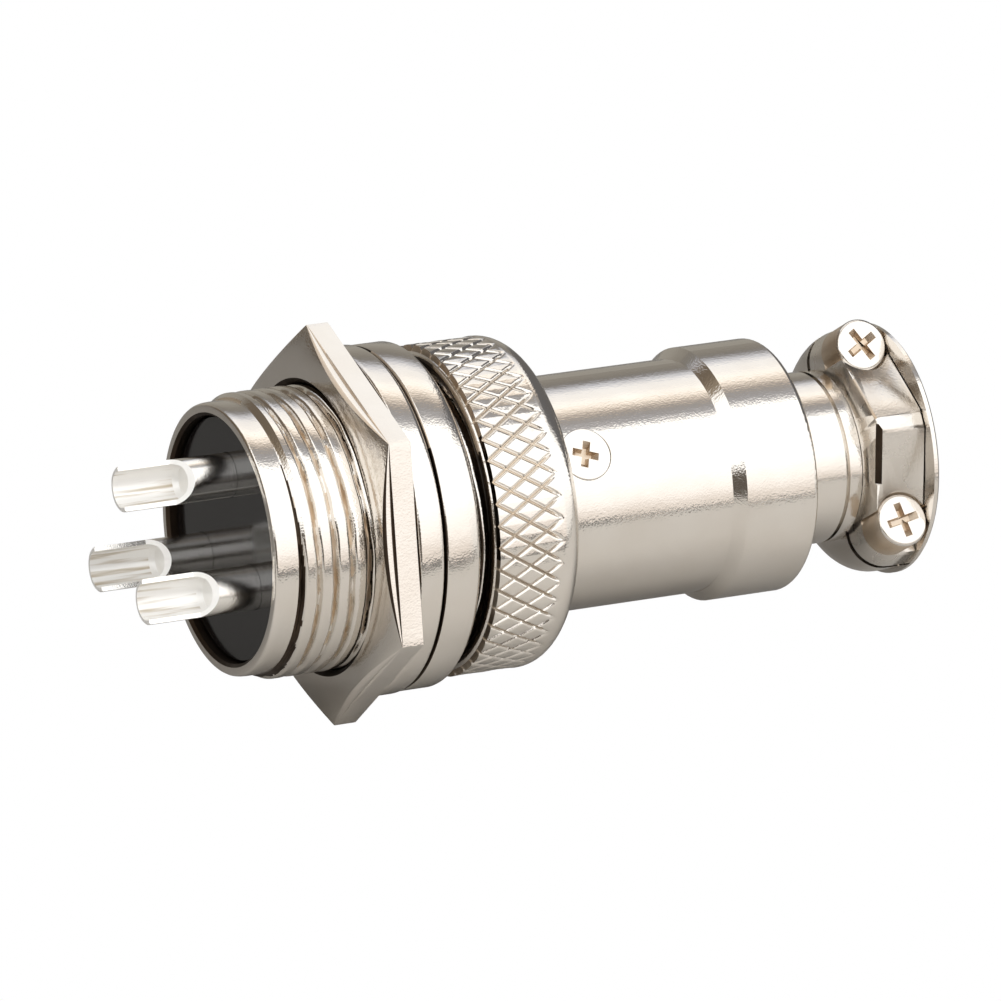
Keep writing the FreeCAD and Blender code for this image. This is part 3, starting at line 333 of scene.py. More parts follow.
def spring_steel():
    """Spring steel of the retaining ring: grey wire with a dull shine."""
    finish = bpy.context.scene.connector_finish
    return plated_metal("Spring steel", finish.spring, finish.stain, 0.3, 0.3, 0.05)


def black_moulding():
    """Black phenolic of the insulators: hard and glossy enough to mirror the pins at a slant."""
    made = new_material("Black phenolic moulding")
    if made is None:
        return bpy.data.materials["Black phenolic moulding"]
    tree = made.node_tree
    finish = bpy.context.scene.connector_finish
    place = add_node(tree, "ShaderNodeTexCoord").outputs["Object"]
    clouds = add_node(tree, "ShaderNodeTexNoise",
                      sockets={"Vector": place, "Scale": 1 / (1.2 * MM), "Detail": 4.0})
    skin = add_node(tree, "ShaderNodeTexNoise",
                    sockets={"Vector": place, "Scale": 1 / (0.18 * MM), "Detail": 2.0})
    polish = add_node(tree, "ShaderNodeMapRange",
                      sockets={"Value": clouds.outputs["Fac"], "From Min": 0.3, "From Max": 0.7,
                               "To Min": 0.08, "To Max": 0.16})
    bumps = add_node(tree, "ShaderNodeBump",
                     sockets={"Height": skin.outputs["Fac"], "Strength": 0.3,
                              "Distance": 0.006 * MM})
    shader = add_node(tree, "ShaderNodeBsdfPrincipled",
                      sockets={"Base Color": (*finish.moulding, 1), "IOR": 1.5,
                               "Roughness": polish.outputs["Result"],
                               "Normal": bumps.outputs["Normal"]})
    add_node(tree, "ShaderNodeOutputMaterial", sockets={"Surface": shader.outputs["BSDF"]})
    return made


def dress(names, material):
    """Gives carried-over nodes their material."""
    for name in names:
        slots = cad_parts[name].data.materials
        slots.clear()
        slots.append(material)


def new_piece(name, mesh, materials, body, node):
    """Object of a mesh that stands for one node and rides on its body."""
    for material in materials:
        mesh.materials.append(material)
    mesh.shade_smooth()
    mesh.set_sharp_from_angle(angle=math.radians(38))
    piece = bpy.data.objects.new(name, mesh)
    bpy.context.scene.collection.objects.link(piece)
    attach(piece, body)
    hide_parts(node)
    return piece


def new_mesh(name, points, faces, slots=()):
    """Mesh of points and faces, whose faces look outwards. Slots give the faces' materials."""
    mesh = bpy.data.meshes.new(name)
    mesh.from_pydata(points, [], faces)
    for face, slot in zip(mesh.polygons, slots):
        face.material_index = slot
    shape = bmesh.new()
    shape.from_mesh(mesh)
    bmesh.ops.recalc_face_normals(shape, faces=shape.faces)
    shape.to_mesh(mesh)
    shape.free()
    return mesh


def turned(name, stations, steps, phase=0.0):
    """Ring turned round the X axis.

    A station is a place along the axis and a radius, in metres, and the material slot of the
    band up to the next station, 0 if it is left out. Each may be a function of the clock angle.
    The last station joins the first one.
    """
    points = []
    faces = []
    slots = []
    for along, radius, *_ in stations:
        for step in range(steps):
            angle = phase + TURN * step / steps
            reach = radius(angle) if callable(radius) else radius
            place = along(angle) if callable(along) else along
            points.append((place, -reach * math.sin(angle), reach * math.cos(angle)))
    for row, station in enumerate(stations):
        here, there = row * steps, (row + 1) % len(stations) * steps
        for step in range(steps):
            beside = (step + 1) % steps
            faces.append((here + step, here + beside, there + beside, there + step))
            slot = station[2] if len(station) > 2 else 0
            slots.append(slot(phase + TURN * step / steps) if callable(slot) else slot)
    return new_mesh(name, points, faces, slots)


def rod(profile, steps, origin, axis, side):
    """Points and faces of a solid turned about an axis; the profile runs from end to end."""
    other = axis.cross(side)
    points = [origin + axis * profile[0][0], origin + axis * profile[-1][0]]
    faces = []
    for height, radius in profile:
        for step in range(steps):
            angle = TURN * step / steps
            points.append(origin + axis * height + radius * (
                side * math.cos(angle) + other * math.sin(angle)))
    last = 2 + (len(profile) - 1) * steps
    for step in range(steps):
        beside = (step + 1) % steps
        faces.append((0, 2 + beside, 2 + step))
        faces.append((1, last + step, last + beside))
        for row in range(len(profile) - 1):
            here, there = 2 + row * steps, 2 + (row + 1) * steps
            faces.append((here + step, here + beside, there + beside, there + step))
    return points, faces


def frustum(origin, axis, side, low, high, turn=0.0):
    """Points and faces of a tapered block: low and high are (height, half long, half wide)."""
    other = axis.cross(side)
    long_way = side * math.cos(turn) + other * math.sin(turn)
    wide_way = axis.cross(long_way)
    points = []
    for height, long_half, wide_half in (low, high):
        for a, b in ((-1, -1), (1, -1), (1, 1), (-1, 1)):
            points.append(origin + axis * height + long_way * (a * long_half)
                          + wide_way * (b * wide_half))
    faces = [(3, 2, 1, 0), (4, 5, 6, 7), (0, 1, 5, 4), (1, 2, 6, 5), (2, 3, 7, 6), (3, 0, 4, 7)]
    return points, faces


def carved(name, mesh, cutters):
    """Copy of a mesh with its cutters taken off, each given as points and faces."""
    made = [bpy.data.objects.new(name + "_whole", mesh)]
    for points, faces in cutters:
        made.append(bpy.data.objects.new(name + "_cutter", new_mesh(name, points, faces)))
    for item in made:
        bpy.context.scene.collection.objects.link(item)
    for cutter in made[1:]:
        step = made[0].modifiers.new("cut", "BOOLEAN")
        step.operation = "DIFFERENCE"
        step.solver = "EXACT"
        step.object = cutter
    bpy.context.view_layer.update()
    seen = made[0].evaluated_get(bpy.context.evaluated_depsgraph_get())
    result = bpy.data.meshes.new_from_object(seen)
    result.name = name
    for item in made:
        bpy.data.objects.remove(item)
    return result


def clocked(clock):
    """Direction away from the axis at a clock angle in degrees."""
    angle = math.radians(clock)
    return Vector((0, -math.sin(angle), math.cos(angle)))


def groove_radius(sizes, along, start, end, clock):
    """Radius on a right-hand thread, as a function of the clock angle.

    The die starts at the given clock angle, cuts to its full depth within run_in turns and ends
    over run_out turns. A cone leads from the plain band to the crest. The groove wanders a
    little and wears unevenly.
    """
    half = sizes.groove / sizes.pitch / 2
    cone_start, cone_length = start + 0.05 * MM, 0.3 * MM
    run_in, run_out, flank = 0.012, 0.3, 0.7
    body = min(sizes.crest, sizes.band + (sizes.crest - sizes.band)
               * max(0, along - cone_start) / cone_length)
    fade = max(0, min(1, (end - along) / (run_out * sizes.pitch)))

    def radius(angle):
        turns = (along - start) / sizes.pitch - (angle - clock) / TURN
        turn = math.floor(turns + 0.5)
        cut = turn + (angle - clock) / TURN
        if cut < 0:
            return body
        wander = 0.05 * math.sin(7 * angle + 5 * turn) + 0.03 * math.sin(19 * angle + 2 * turn)
        off = (turns - turn + wander * half * 4) / half
        wear_and_shade = 1 + 0.2 * math.sin(5 * angle + 3 * turn) + 0.12 * math.sin(23 * angle + turn)
        dip = math.exp(-flank * off * off) * wear_and_shade
        return min(body, sizes.crest - sizes.depth * fade * min(1, cut / run_in) * dip)

    return radius


def thread_stations(sizes, start, end, clock, fine):
    """Stations along one thread, so many to a turn, with painted shade in the roots of its
    grooves.

    Each root gets a painted tan shade. The first one gets a darker painted shade, which is widest
    at one clock angle and ends at one spread from it, and it has no tan up to another angle.
    """
    count = round((end - start) / sizes.pitch * fine)
    widest, spread, shade_start = math.radians(125), 1.4, 1.0
    stations = []
    for step in range(count + 1):
        along = start + (end - start) * step / count
        radius = groove_radius(sizes, along, start, end, clock)
        first = along < start + 0.8 * sizes.pitch

        def slot(angle, radius=radius, first=first):
            depth = (sizes.crest - radius(angle)) / sizes.depth
            if first and depth > 0.5 + 0.5 * ((angle - widest) / spread) ** 2:
                return 1
            return 2 if depth > 0.8 and (angle > shade_start or not first) else 0
        stations.append((along, radius, slot))
    return stations


class CONNECTOR_OT_receptacle_shell(bpy.types.Operator):
    """Panel shell with its rim, plain band, panel thread, flange and coupling thread"""

    bl_idname = "connector.receptacle_shell"
    bl_label = "Receptacle shell"

    def execute(self, context):
        sizes = context.scene.connector_shell
        crest, band, bore = sizes.crest, sizes.band, sizes.rim_bore
        rim, flange, front = sizes.rim, sizes.flange, sizes.coupling_end
        key_half, lit, die_start = math.radians(6.5), math.radians(50), math.radians(39)

        def keyed(angle):
            """Mating bore with its keyway at the top."""
            off = min(angle, TURN - angle)
            return sizes.keyway / math.cos(off) if off < key_half else sizes.mating_bore

        def seam(angle):
            """Faces beside the flange get a painted tan where light falls on them, and painted
            dark shade below.
            """
            return 2 if angle < lit else 1

        stations = [(rim, bore + 0.18 * MM)]
        for along, drop in ((0, 0.17), (0.04, 0.09), (0.12, 0.045), (0.27, 0.015), (0.52, 0)):
            stations.append((rim + along * MM, band - drop * MM))
        stations.append((sizes.panel_start - 0.35 * MM, band))
        stations += thread_stations(sizes, sizes.panel_start, sizes.panel_end, die_start, 26)
        # Painted shade: the rear face of the flange and the faces beside the flange get the seam
        # shade.
        stations.append((-0.001 * MM, crest, 1))
        for along, drop, slot in ((-0.001, 0.27, seam), (0.05, 0.12, seam), (0.1, 0.04, 0),
                                  (0.18, 0, 0)):
            stations.append((along * MM, flange - drop * MM, slot))
        for along, drop, slot in ((0.45, 0, 0), (0.36, 0.03, 0), (0.06, 0.33, 0), (0, 0.45, seam)):
            stations.append((sizes.flange_front - along * MM, flange - drop * MM, slot))
        stations.append((sizes.flange_front, crest, seam))
        stations += thread_stations(sizes, sizes.coupling_start, front - 0.4 * MM, 0, 14)
        # Painted shade: the bore from the insulator's seat back to the rim gets the dark seam
        # shade.
        stations += [(front, crest - 0.4 * MM), (front, 6.9 * MM), (front - 0.1 * MM, keyed),
                     (sizes.seat, keyed), (sizes.seat - 0.05 * MM, bore, 1),
                     (rim + 0.17 * MM, bore, 1)]
        mesh = turned("receptacle_shell_threaded", stations, 240)
        new_piece("receptacle_shell_threaded", mesh,
                  [nickel_plate(), dark_painted_shade(), tan_painted_shade()], "receptacle",
                  "receptacle_shell")
        return {"FINISHED"}


class CONNECTOR_OT_coupling_ring(bpy.types.Operator):
    """Coupling ring with its diamond knurl, rounded shoulder and internal thread"""

    bl_idname = "connector.coupling_ring"
    bl_label = "Coupling ring"

    def execute(self, context):
        sizes = context.scene.connector_ring
        fine = 12
        steps = sizes.diamonds * 2 * fine
        tip = sizes.radius - 0.02 * MM
        root = tip - sizes.depth
        span = (sizes.knurl_end - sizes.knurl_start) / sizes.rows
        steep = sizes.groove / span
        # Half widths of the painted tan shade in the two families of grooves, in half diamonds.
        groove_shade = 0.08, 0.03

        def nearest(row, angle):
            """Distances from the two families of grooves, in half diamonds."""
            across = angle / TURN * sizes.diamonds * 2
            return (abs((row / fine + across) % 2 - 1), abs((row / fine - across) % 2 - 1))

        def knurl(row):
            """Radius and slot along one line of the knurl, as functions of the clock angle.

            The diamonds get lower over the last half row or so, and their roots get no painted
            shade there.
            """
            fade = min(1, (sizes.rows * fine - row) / fine / 0.7 + 0.15)

            def radius(angle):
                near = min(nearest(row, angle))
                height = 0.85 * min(1, near / steep) + 0.15 * near
                return tip - fade * sizes.depth * (1 - height)

            def slot(angle):
                first, second = nearest(row + 0.5, angle + TURN / steps / 2)
                return 2 if fade > 0.8 and (first < groove_shade[0] or second < groove_shade[1]) else 0
            return radius, slot

        def notch(angle):
            """Painted shade in the ends of the grooves at the front: dark from 48 to 92 degrees,
            tan elsewhere.
            """
            return 1 if math.radians(48) < angle < math.radians(92) else 2

        # Painted shade: the front face by the mouth, the rear hole, the rear wall and the bore of
        # the ring get the dark seam shade.
        stations = [(sizes.front, sizes.bore + sizes.lead, 1), (sizes.front, root - 0.42 * MM),
                    (sizes.front + 0.02 * MM, root - 0.3 * MM),
                    (sizes.front + 0.08 * MM, root - 0.18 * MM),
                    (sizes.front + 0.17 * MM, root - 0.12 * MM, notch)]
        for row in range(sizes.rows * fine + 1):
            stations.append((sizes.knurl_start + span * row / fine, *knurl(row)))
        stations.append((sizes.knurl_end + 0.06 * MM, sizes.radius))
        for step in range(13):
            angle = math.pi / 2 * step / 12
            stations.append((sizes.rear - sizes.shoulder + sizes.shoulder * math.sin(angle),
                             sizes.radius - sizes.shoulder * (1 - math.cos(angle))))
        stations += [(sizes.rear, sizes.hole + 0.1 * MM, 1),
                     (sizes.rear - 0.1 * MM, sizes.hole, 1),
                     (sizes.rear - sizes.wall, sizes.hole, 1),
                     (sizes.rear - sizes.wall, sizes.bore, 1),
                     (sizes.front + sizes.lead, sizes.bore, 1)]
        mesh = turned("coupling_ring_knurled", stations, steps)
        new_piece("coupling_ring_knurled", mesh,
                  [nickel_plate(), dark_painted_shade(), tan_painted_shade()], "ring", "coupling_ring")
        return {"FINISHED"}


class CONNECTOR_OT_hardware(bpy.types.Operator):
    """Panel nut with the creases along its facets, and washer"""

    bl_idname = "connector.hardware"
    bl_label = "Nut and washer"

    def execute(self, context):
        self.add_nut(context.scene.connector_nut)
        self.add_washer(context.scene.connector_nut)
        return {"FINISHED"}

    def add_nut(self, sizes):
        """Hexagon nut whose first corner points 8.6 degrees past the top."""
        corner = math.radians(-8.6)
        rear, front, crease = sizes.rear, sizes.front, sizes.crease
        full = 1 / math.cos(TURN / 12) - 1

        def spread(angle):
            """Distance of the hexagon from the axis, in apothems."""
            off = (angle - corner) % (TURN / 6) - TURN / 12
            return min(1 / math.cos(off), sizes.corner / sizes.apothem)

        def crest(angle):
            """Where the conical crown meets the leaning strip."""
            return rear + sizes.crown * (spread(angle) - 1) / full

        def strip(share, sink=0.0):
            """Place and radius on the strip, from the crown, 0, to the crease, 1."""
            def along(angle):
                return crest(angle) + share * (crease - crest(angle))

            def reach(angle):
                fall = (crease - along(angle)) / (crease - rear)
                width = (crease - crest(angle)) / (crease - rear)
                return sizes.apothem * spread(angle) - sizes.lean * fall - sink * width
            return along, reach

        def flat(angle):
            """Facet in front of the crease."""
            return sizes.apothem * spread(angle)

        def edge(angle):
            """Broken front edge of the facets."""
            return flat(angle) - 0.09 * MM

        def wear_and_shade(angle):
            """Painted shade on the grooves of the strip: dark on the facet at the front, thin tan
            on the one beside it, else plain.
            """
            facet = (angle - corner) // (TURN / 6) % 6
            return 1 if facet == 1 else 2 if facet == 0 else 0

        # Painted shade: the mouth, the front faces and the bore of the nut get the dark seam
        # shade.
        stations = [(rear + 0.3 * MM, sizes.bore, 1), (rear, 8.25 * MM), (rear, 9.3 * MM)]
        stations += [(*strip(0.0, 0.07 * MM), wear_and_shade), (*strip(0.14, 0.03 * MM), wear_and_shade),
                     (*strip(0.3), 0), (*strip(0.7), wear_and_shade), (*strip(0.85, 0.06 * MM), wear_and_shade)]
        stations += [(crease, flat), (crease + 0.03 * MM, flat), (front - 0.09 * MM, flat),
                     (front - 0.06 * MM, flat), (front, edge, 1), (front, 9.3 * MM, 1),
                     (front, 8.1 * MM, 1), (front - 0.15 * MM, sizes.bore, 1)]
        mesh = turned("panel_nut_creased", stations, 360, corner)
        new_piece("panel_nut_creased", mesh, [nickel_plate(), dark_painted_shade(), tan_painted_shade()],
                  "nut", "panel_nut")

    def add_washer(self, sizes):
        """Thick washer with rounded edges, with painted shade in its bore, on its rear face and on
        its front edge and face beside the flange.
        """
        rear, front, soft = sizes.washer_rear, sizes.washer_front, sizes.washer_round
        stations = [(rear, sizes.washer_bore, 1), (rear, 9.28 * MM, 0)]
        for middle, way in ((rear + soft, -1), (front - soft, 1)):
            for step in range(7):
                angle = math.pi / 12 * (step if way < 0 else 6 - step)
                stations.append((middle + way * soft * math.cos(angle),
                                 sizes.washer_radius - soft * (1 - math.sin(angle)),
                                 int(way > 0 and step > 3)))
        stations += [(front, 9.3 * MM, 1), (front, sizes.washer_bore, 1)]
        mesh = turned("panel_washer_rounded", stations, 240)
        new_piece("panel_washer_rounded", mesh, [nickel_plate(), dark_painted_shade()], "washer",
                  "panel_washer")


class CONNECTOR_OT_insulators(bpy.types.Operator):
    """Black insulators of receptacle and plug"""

    bl_idname = "connector.insulators"
    bl_label = "Insulators"

    def execute(self, context):
        dress(["receptacle_insulator", "plug_insulator"], black_moulding())
        return {"FINISHED"}


class CONNECTOR_OT_contacts(bpy.types.Operator):
    """Contact pins with their scooped solder cups, and sockets"""

    bl_idname = "connector.contacts"
    bl_label = "Contacts"

    def execute(self, context):
        sizes = context.scene.connector_contacts
        tip, cup, pin, bottom = sizes.tip, sizes.cup, sizes.pin, sizes.bottom
        along, facing = Vector((1, 0, 0)), clocked(66)
        bevel = 0.08 * MM
        outline = [(tip, cup - bevel), (tip + bevel, cup), (sizes.shoulder - bevel, cup),
                   (sizes.shoulder, cup - bevel), (sizes.shoulder, pin),
                   (sizes.end - 0.4 * MM, pin), (sizes.end - 0.15 * MM, pin - 0.12 * MM),
                   (sizes.end, pin - 0.4 * MM)]
        drill = [(tip - 0.2 * MM, sizes.bore), (bottom - 0.4 * MM, sizes.bore),
                 (bottom - 0.1 * MM, sizes.bore - 0.2 * MM), (bottom, sizes.bore - 0.6 * MM)]
        plates = [silver_plate(), cup_plate("Drawn silver inside a cup", 0.5),
                  cup_plate("Cut silver at the end of a cup", 0.72)]
        for index, clock in enumerate((1, 121, 241), start=1):
            name = "contact_pin_%d_scooped" % index
            origin = clocked(clock) * sizes.circle
            shape = new_mesh(name, *rod(outline, 64, origin, along, facing))
            bore = rod(drill, 48, origin, along, facing)
            scoop = frustum(origin + along * (tip + 1.2 * MM), facing, along,
                            (0.15 * MM, 1.85 * MM, 1.6 * MM), (1.6 * MM, 3.0 * MM, 1.6 * MM))
            mesh = carved(name, shape, [bore, scoop])
            for face in mesh.polygons:
                spot = face.center - origin
                inside = math.hypot(spot.y, spot.z) < sizes.bore + 0.005 * MM
                if spot.x < bottom + 0.3 * MM and abs(face.normal.x) > 0.2:
                    face.material_index = 2
                elif inside and tip + 0.02 * MM < spot.x < bottom + 0.1 * MM:
                    face.material_index = 1
            new_piece(name, mesh, plates, "receptacle", "contact_pin_%d" % index)
        dress(["socket_contact_%d" % index for index in (1, 2, 3)], silver_plate())
        return {"FINISHED"}


class CONNECTOR_OT_plug(bpy.types.Operator):
    """Plug body, retaining ring and barrel"""

    bl_idname = "connector.plug"
    bl_label = "Plug body and barrel"

    def execute(self, context):
        dress(["plug_body", "barrel"], nickel_plate())
        dress(["retaining_ring"], spring_steel())
        return {"FINISHED"}


def cross_screw(name, origin, clock, profile, tilt, reach, body, node):
    """Screw with a pressed cross recess, whose axis points away from the main axis.

    The profile holds heights and radii in millimetres, up to its flat face. Recess and the side
    of the head get a painted tan shade.
    """
    deep, inner, outer = 0.38 * MM, 1.2 * MM, 1.4 * MM
    axis, side = clocked(clock), Vector((1, 0, 0))
    shape = new_mesh(name, *rod([(a * MM, r * MM) for a, r in profile], 64, origin, axis, side))
    top = profile[-1][0] * MM
    arms = []
    for turn in (tilt, tilt + 90):
        arms.append(frustum(origin, axis, side, (top - deep, 0.55 * reach, 0.14 * MM),
                            (top + 0.1 * MM, reach, 0.24 * MM), math.radians(turn)))
    mesh = carved(name, shape, arms)
    for face in mesh.polygons:
        spot = face.center - origin
        height = spot.dot(axis)
        away = (spot - axis * height).length
        # Painted shade: faces in the recess and on the side of the head get the tan slot.
        recess = top - deep - 0.02 * MM < height < top - 0.01 * MM and away < inner
        wall = away > outer and height < top - 0.3 * MM
        face.material_index = int(recess or wall)
    new_piece(name, mesh, [screw_plate(), tan_painted_shade()], body, node)


class CONNECTOR_OT_clamp(bpy.types.Operator):
    """Cable neck, saddle and screws"""

    bl_idname = "connector.clamp"
    bl_label = "Cable clamp and screws"

    def execute(self, context):
        dress(["clamp_neck"], nickel_plate())
        facing, apart = 60.5, 5.1 * MM
        axis, side = clocked(facing), Vector((1, 0, 0))
        middle, rear = Vector((29.89 * MM, 0, 0)), Vector((28.43 * MM, 0, 0))
        ridge = frustum(middle, axis, side, (6.62 * MM, 3 * MM, 2 * MM), (8 * MM, 3 * MM, 2 * MM))
        cutters = [ridge]
        slopes = []
        for clock, deep in ((facing + 30, 0.2), (facing - 30, 0.08)):
            facet = clocked(clock)
            across = clocked(facing - 90 if clock < facing else facing + 90)
            across = (across - facet * across.dot(facet)).normalized()
            slope = (facet - side).normalized()
            corner = rear + facet * 5.9 * MM - across * 1.6 * MM
            cutters.append(frustum(corner, slope, across, (-deep * MM, 1.75 * MM, 1 * MM),
                                   (1 * MM, 1.75 * MM, 1 * MM)))
            slopes.append(slope)
        mesh = carved("clamp_saddle_ridged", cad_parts["clamp_saddle"].data.copy(), cutters)
        mesh.materials.clear()
        # Painted shade on the two slopes of the ridge: dark on one, tan on the other.
        for face in mesh.polygons:
            for index, slope in enumerate(slopes, start=1):
                if face.normal.dot(slope) > 0.99 and face.center.x < middle.x:
                    face.material_index = index
        new_piece("clamp_saddle_ridged", mesh, [nickel_jaw(), dark_painted_shade(), tan_painted_shade()],
                  "saddle", "clamp_saddle")
        head = [(-2.0, 0.88), (-1.88, 1.0), (2.1, 1.0), (2.1, 1.5), (4.12, 1.5), (4.25, 1.43),
                (4.3, 1.36), (4.3, 1.3)]
        across = axis.cross(side)
        for name, sign, tilt in (("upper", 1, 29), ("lower", -1, 10)):
            cross_screw("clamp_screw_%s_crossed" % name, middle + across * (sign * apart), facing,
                        head, tilt, 1.08 * MM, "screw_" + name, "clamp_screw_" + name)
        cross_screw("set_screw_crossed", Vector((10.53 * MM, 0, 0)), 55,
                    [(5.55, 0.9), (5.9, 0.95), (5.9, 1.45), (6.2, 1.49), (6.47, 1.49),
                     (6.52, 1.45), (6.52, 1.4)], -20, 0.85 * MM, "set_screw", "set_screw")
        return {"FINISHED"}


# Light of the tent over the connector, past its solder cups and past its clamp. Each pair is an
# elevation, 0 on the camera's side and 90 overhead, and a light in linear red, green and blue.
TENT_LIGHT = (
    (-30, (1.0, 0.93, 0.87)),
    (-10.0, (1.05, 0.97, 0.9)),
    (-6.0, (1.13, 1.05, 0.99)),
    (0.0, (1.38, 1.33, 1.29)),
    (20.0, (1.6, 1.6, 1.6)),
    (74.0, (1.75, 1.75, 1.75)),
    (77.0, (0.55, 0.55, 0.58)),
    (84.0, (0.44, 0.44, 0.46)),
    (91.0, (0.42, 0.39, 0.36)),
    (96.0, (0.75, 0.66, 0.58)),
    (102.0, (1.35, 1.23, 1.1)),
    (109.0, (1.5, 1.47, 1.42)),
    (116.0, (1.24, 1.23, 1.22)),
    (126.0, (1.24, 1.24, 1.25)),
    (132.0, (0.85, 0.87, 0.95)),
    (137.0, (0.6, 0.62, 0.68)),
    (141.0, (0.25, 0.24, 0.23)),
    (150.0, (0.29, 0.27, 0.24)),
    (165.0, (0.38, 0.36, 0.32)),
    (215.0, (0.38, 0.36, 0.32)),
)
CUP_SIDE_LIGHT = (
    (-30, (0.13, 0.11, 0.09)),
    (12, (0.13, 0.11, 0.09)),
    (20, (1.6, 1.6, 1.6)),
    (97, (1.6, 1.6, 1.6)),
    (106, (0.36, 0.29, 0.21)),
    (120, (0.2, 0.16, 0.12)),
    (215, (0.14, 0.12, 0.1)),
)
CLAMP_SIDE_LIGHT = (
    (-30, (0.8, 0.77, 0.73)),
    (0, (1.2, 1.18, 1.15)),
    (25, (1.6, 1.6, 1.6)),
    (62, (1.6, 1.6, 1.6)),
    (70, (0.16, 0.16, 0.17)),
    (215, (0.16, 0.15, 0.14)),
)


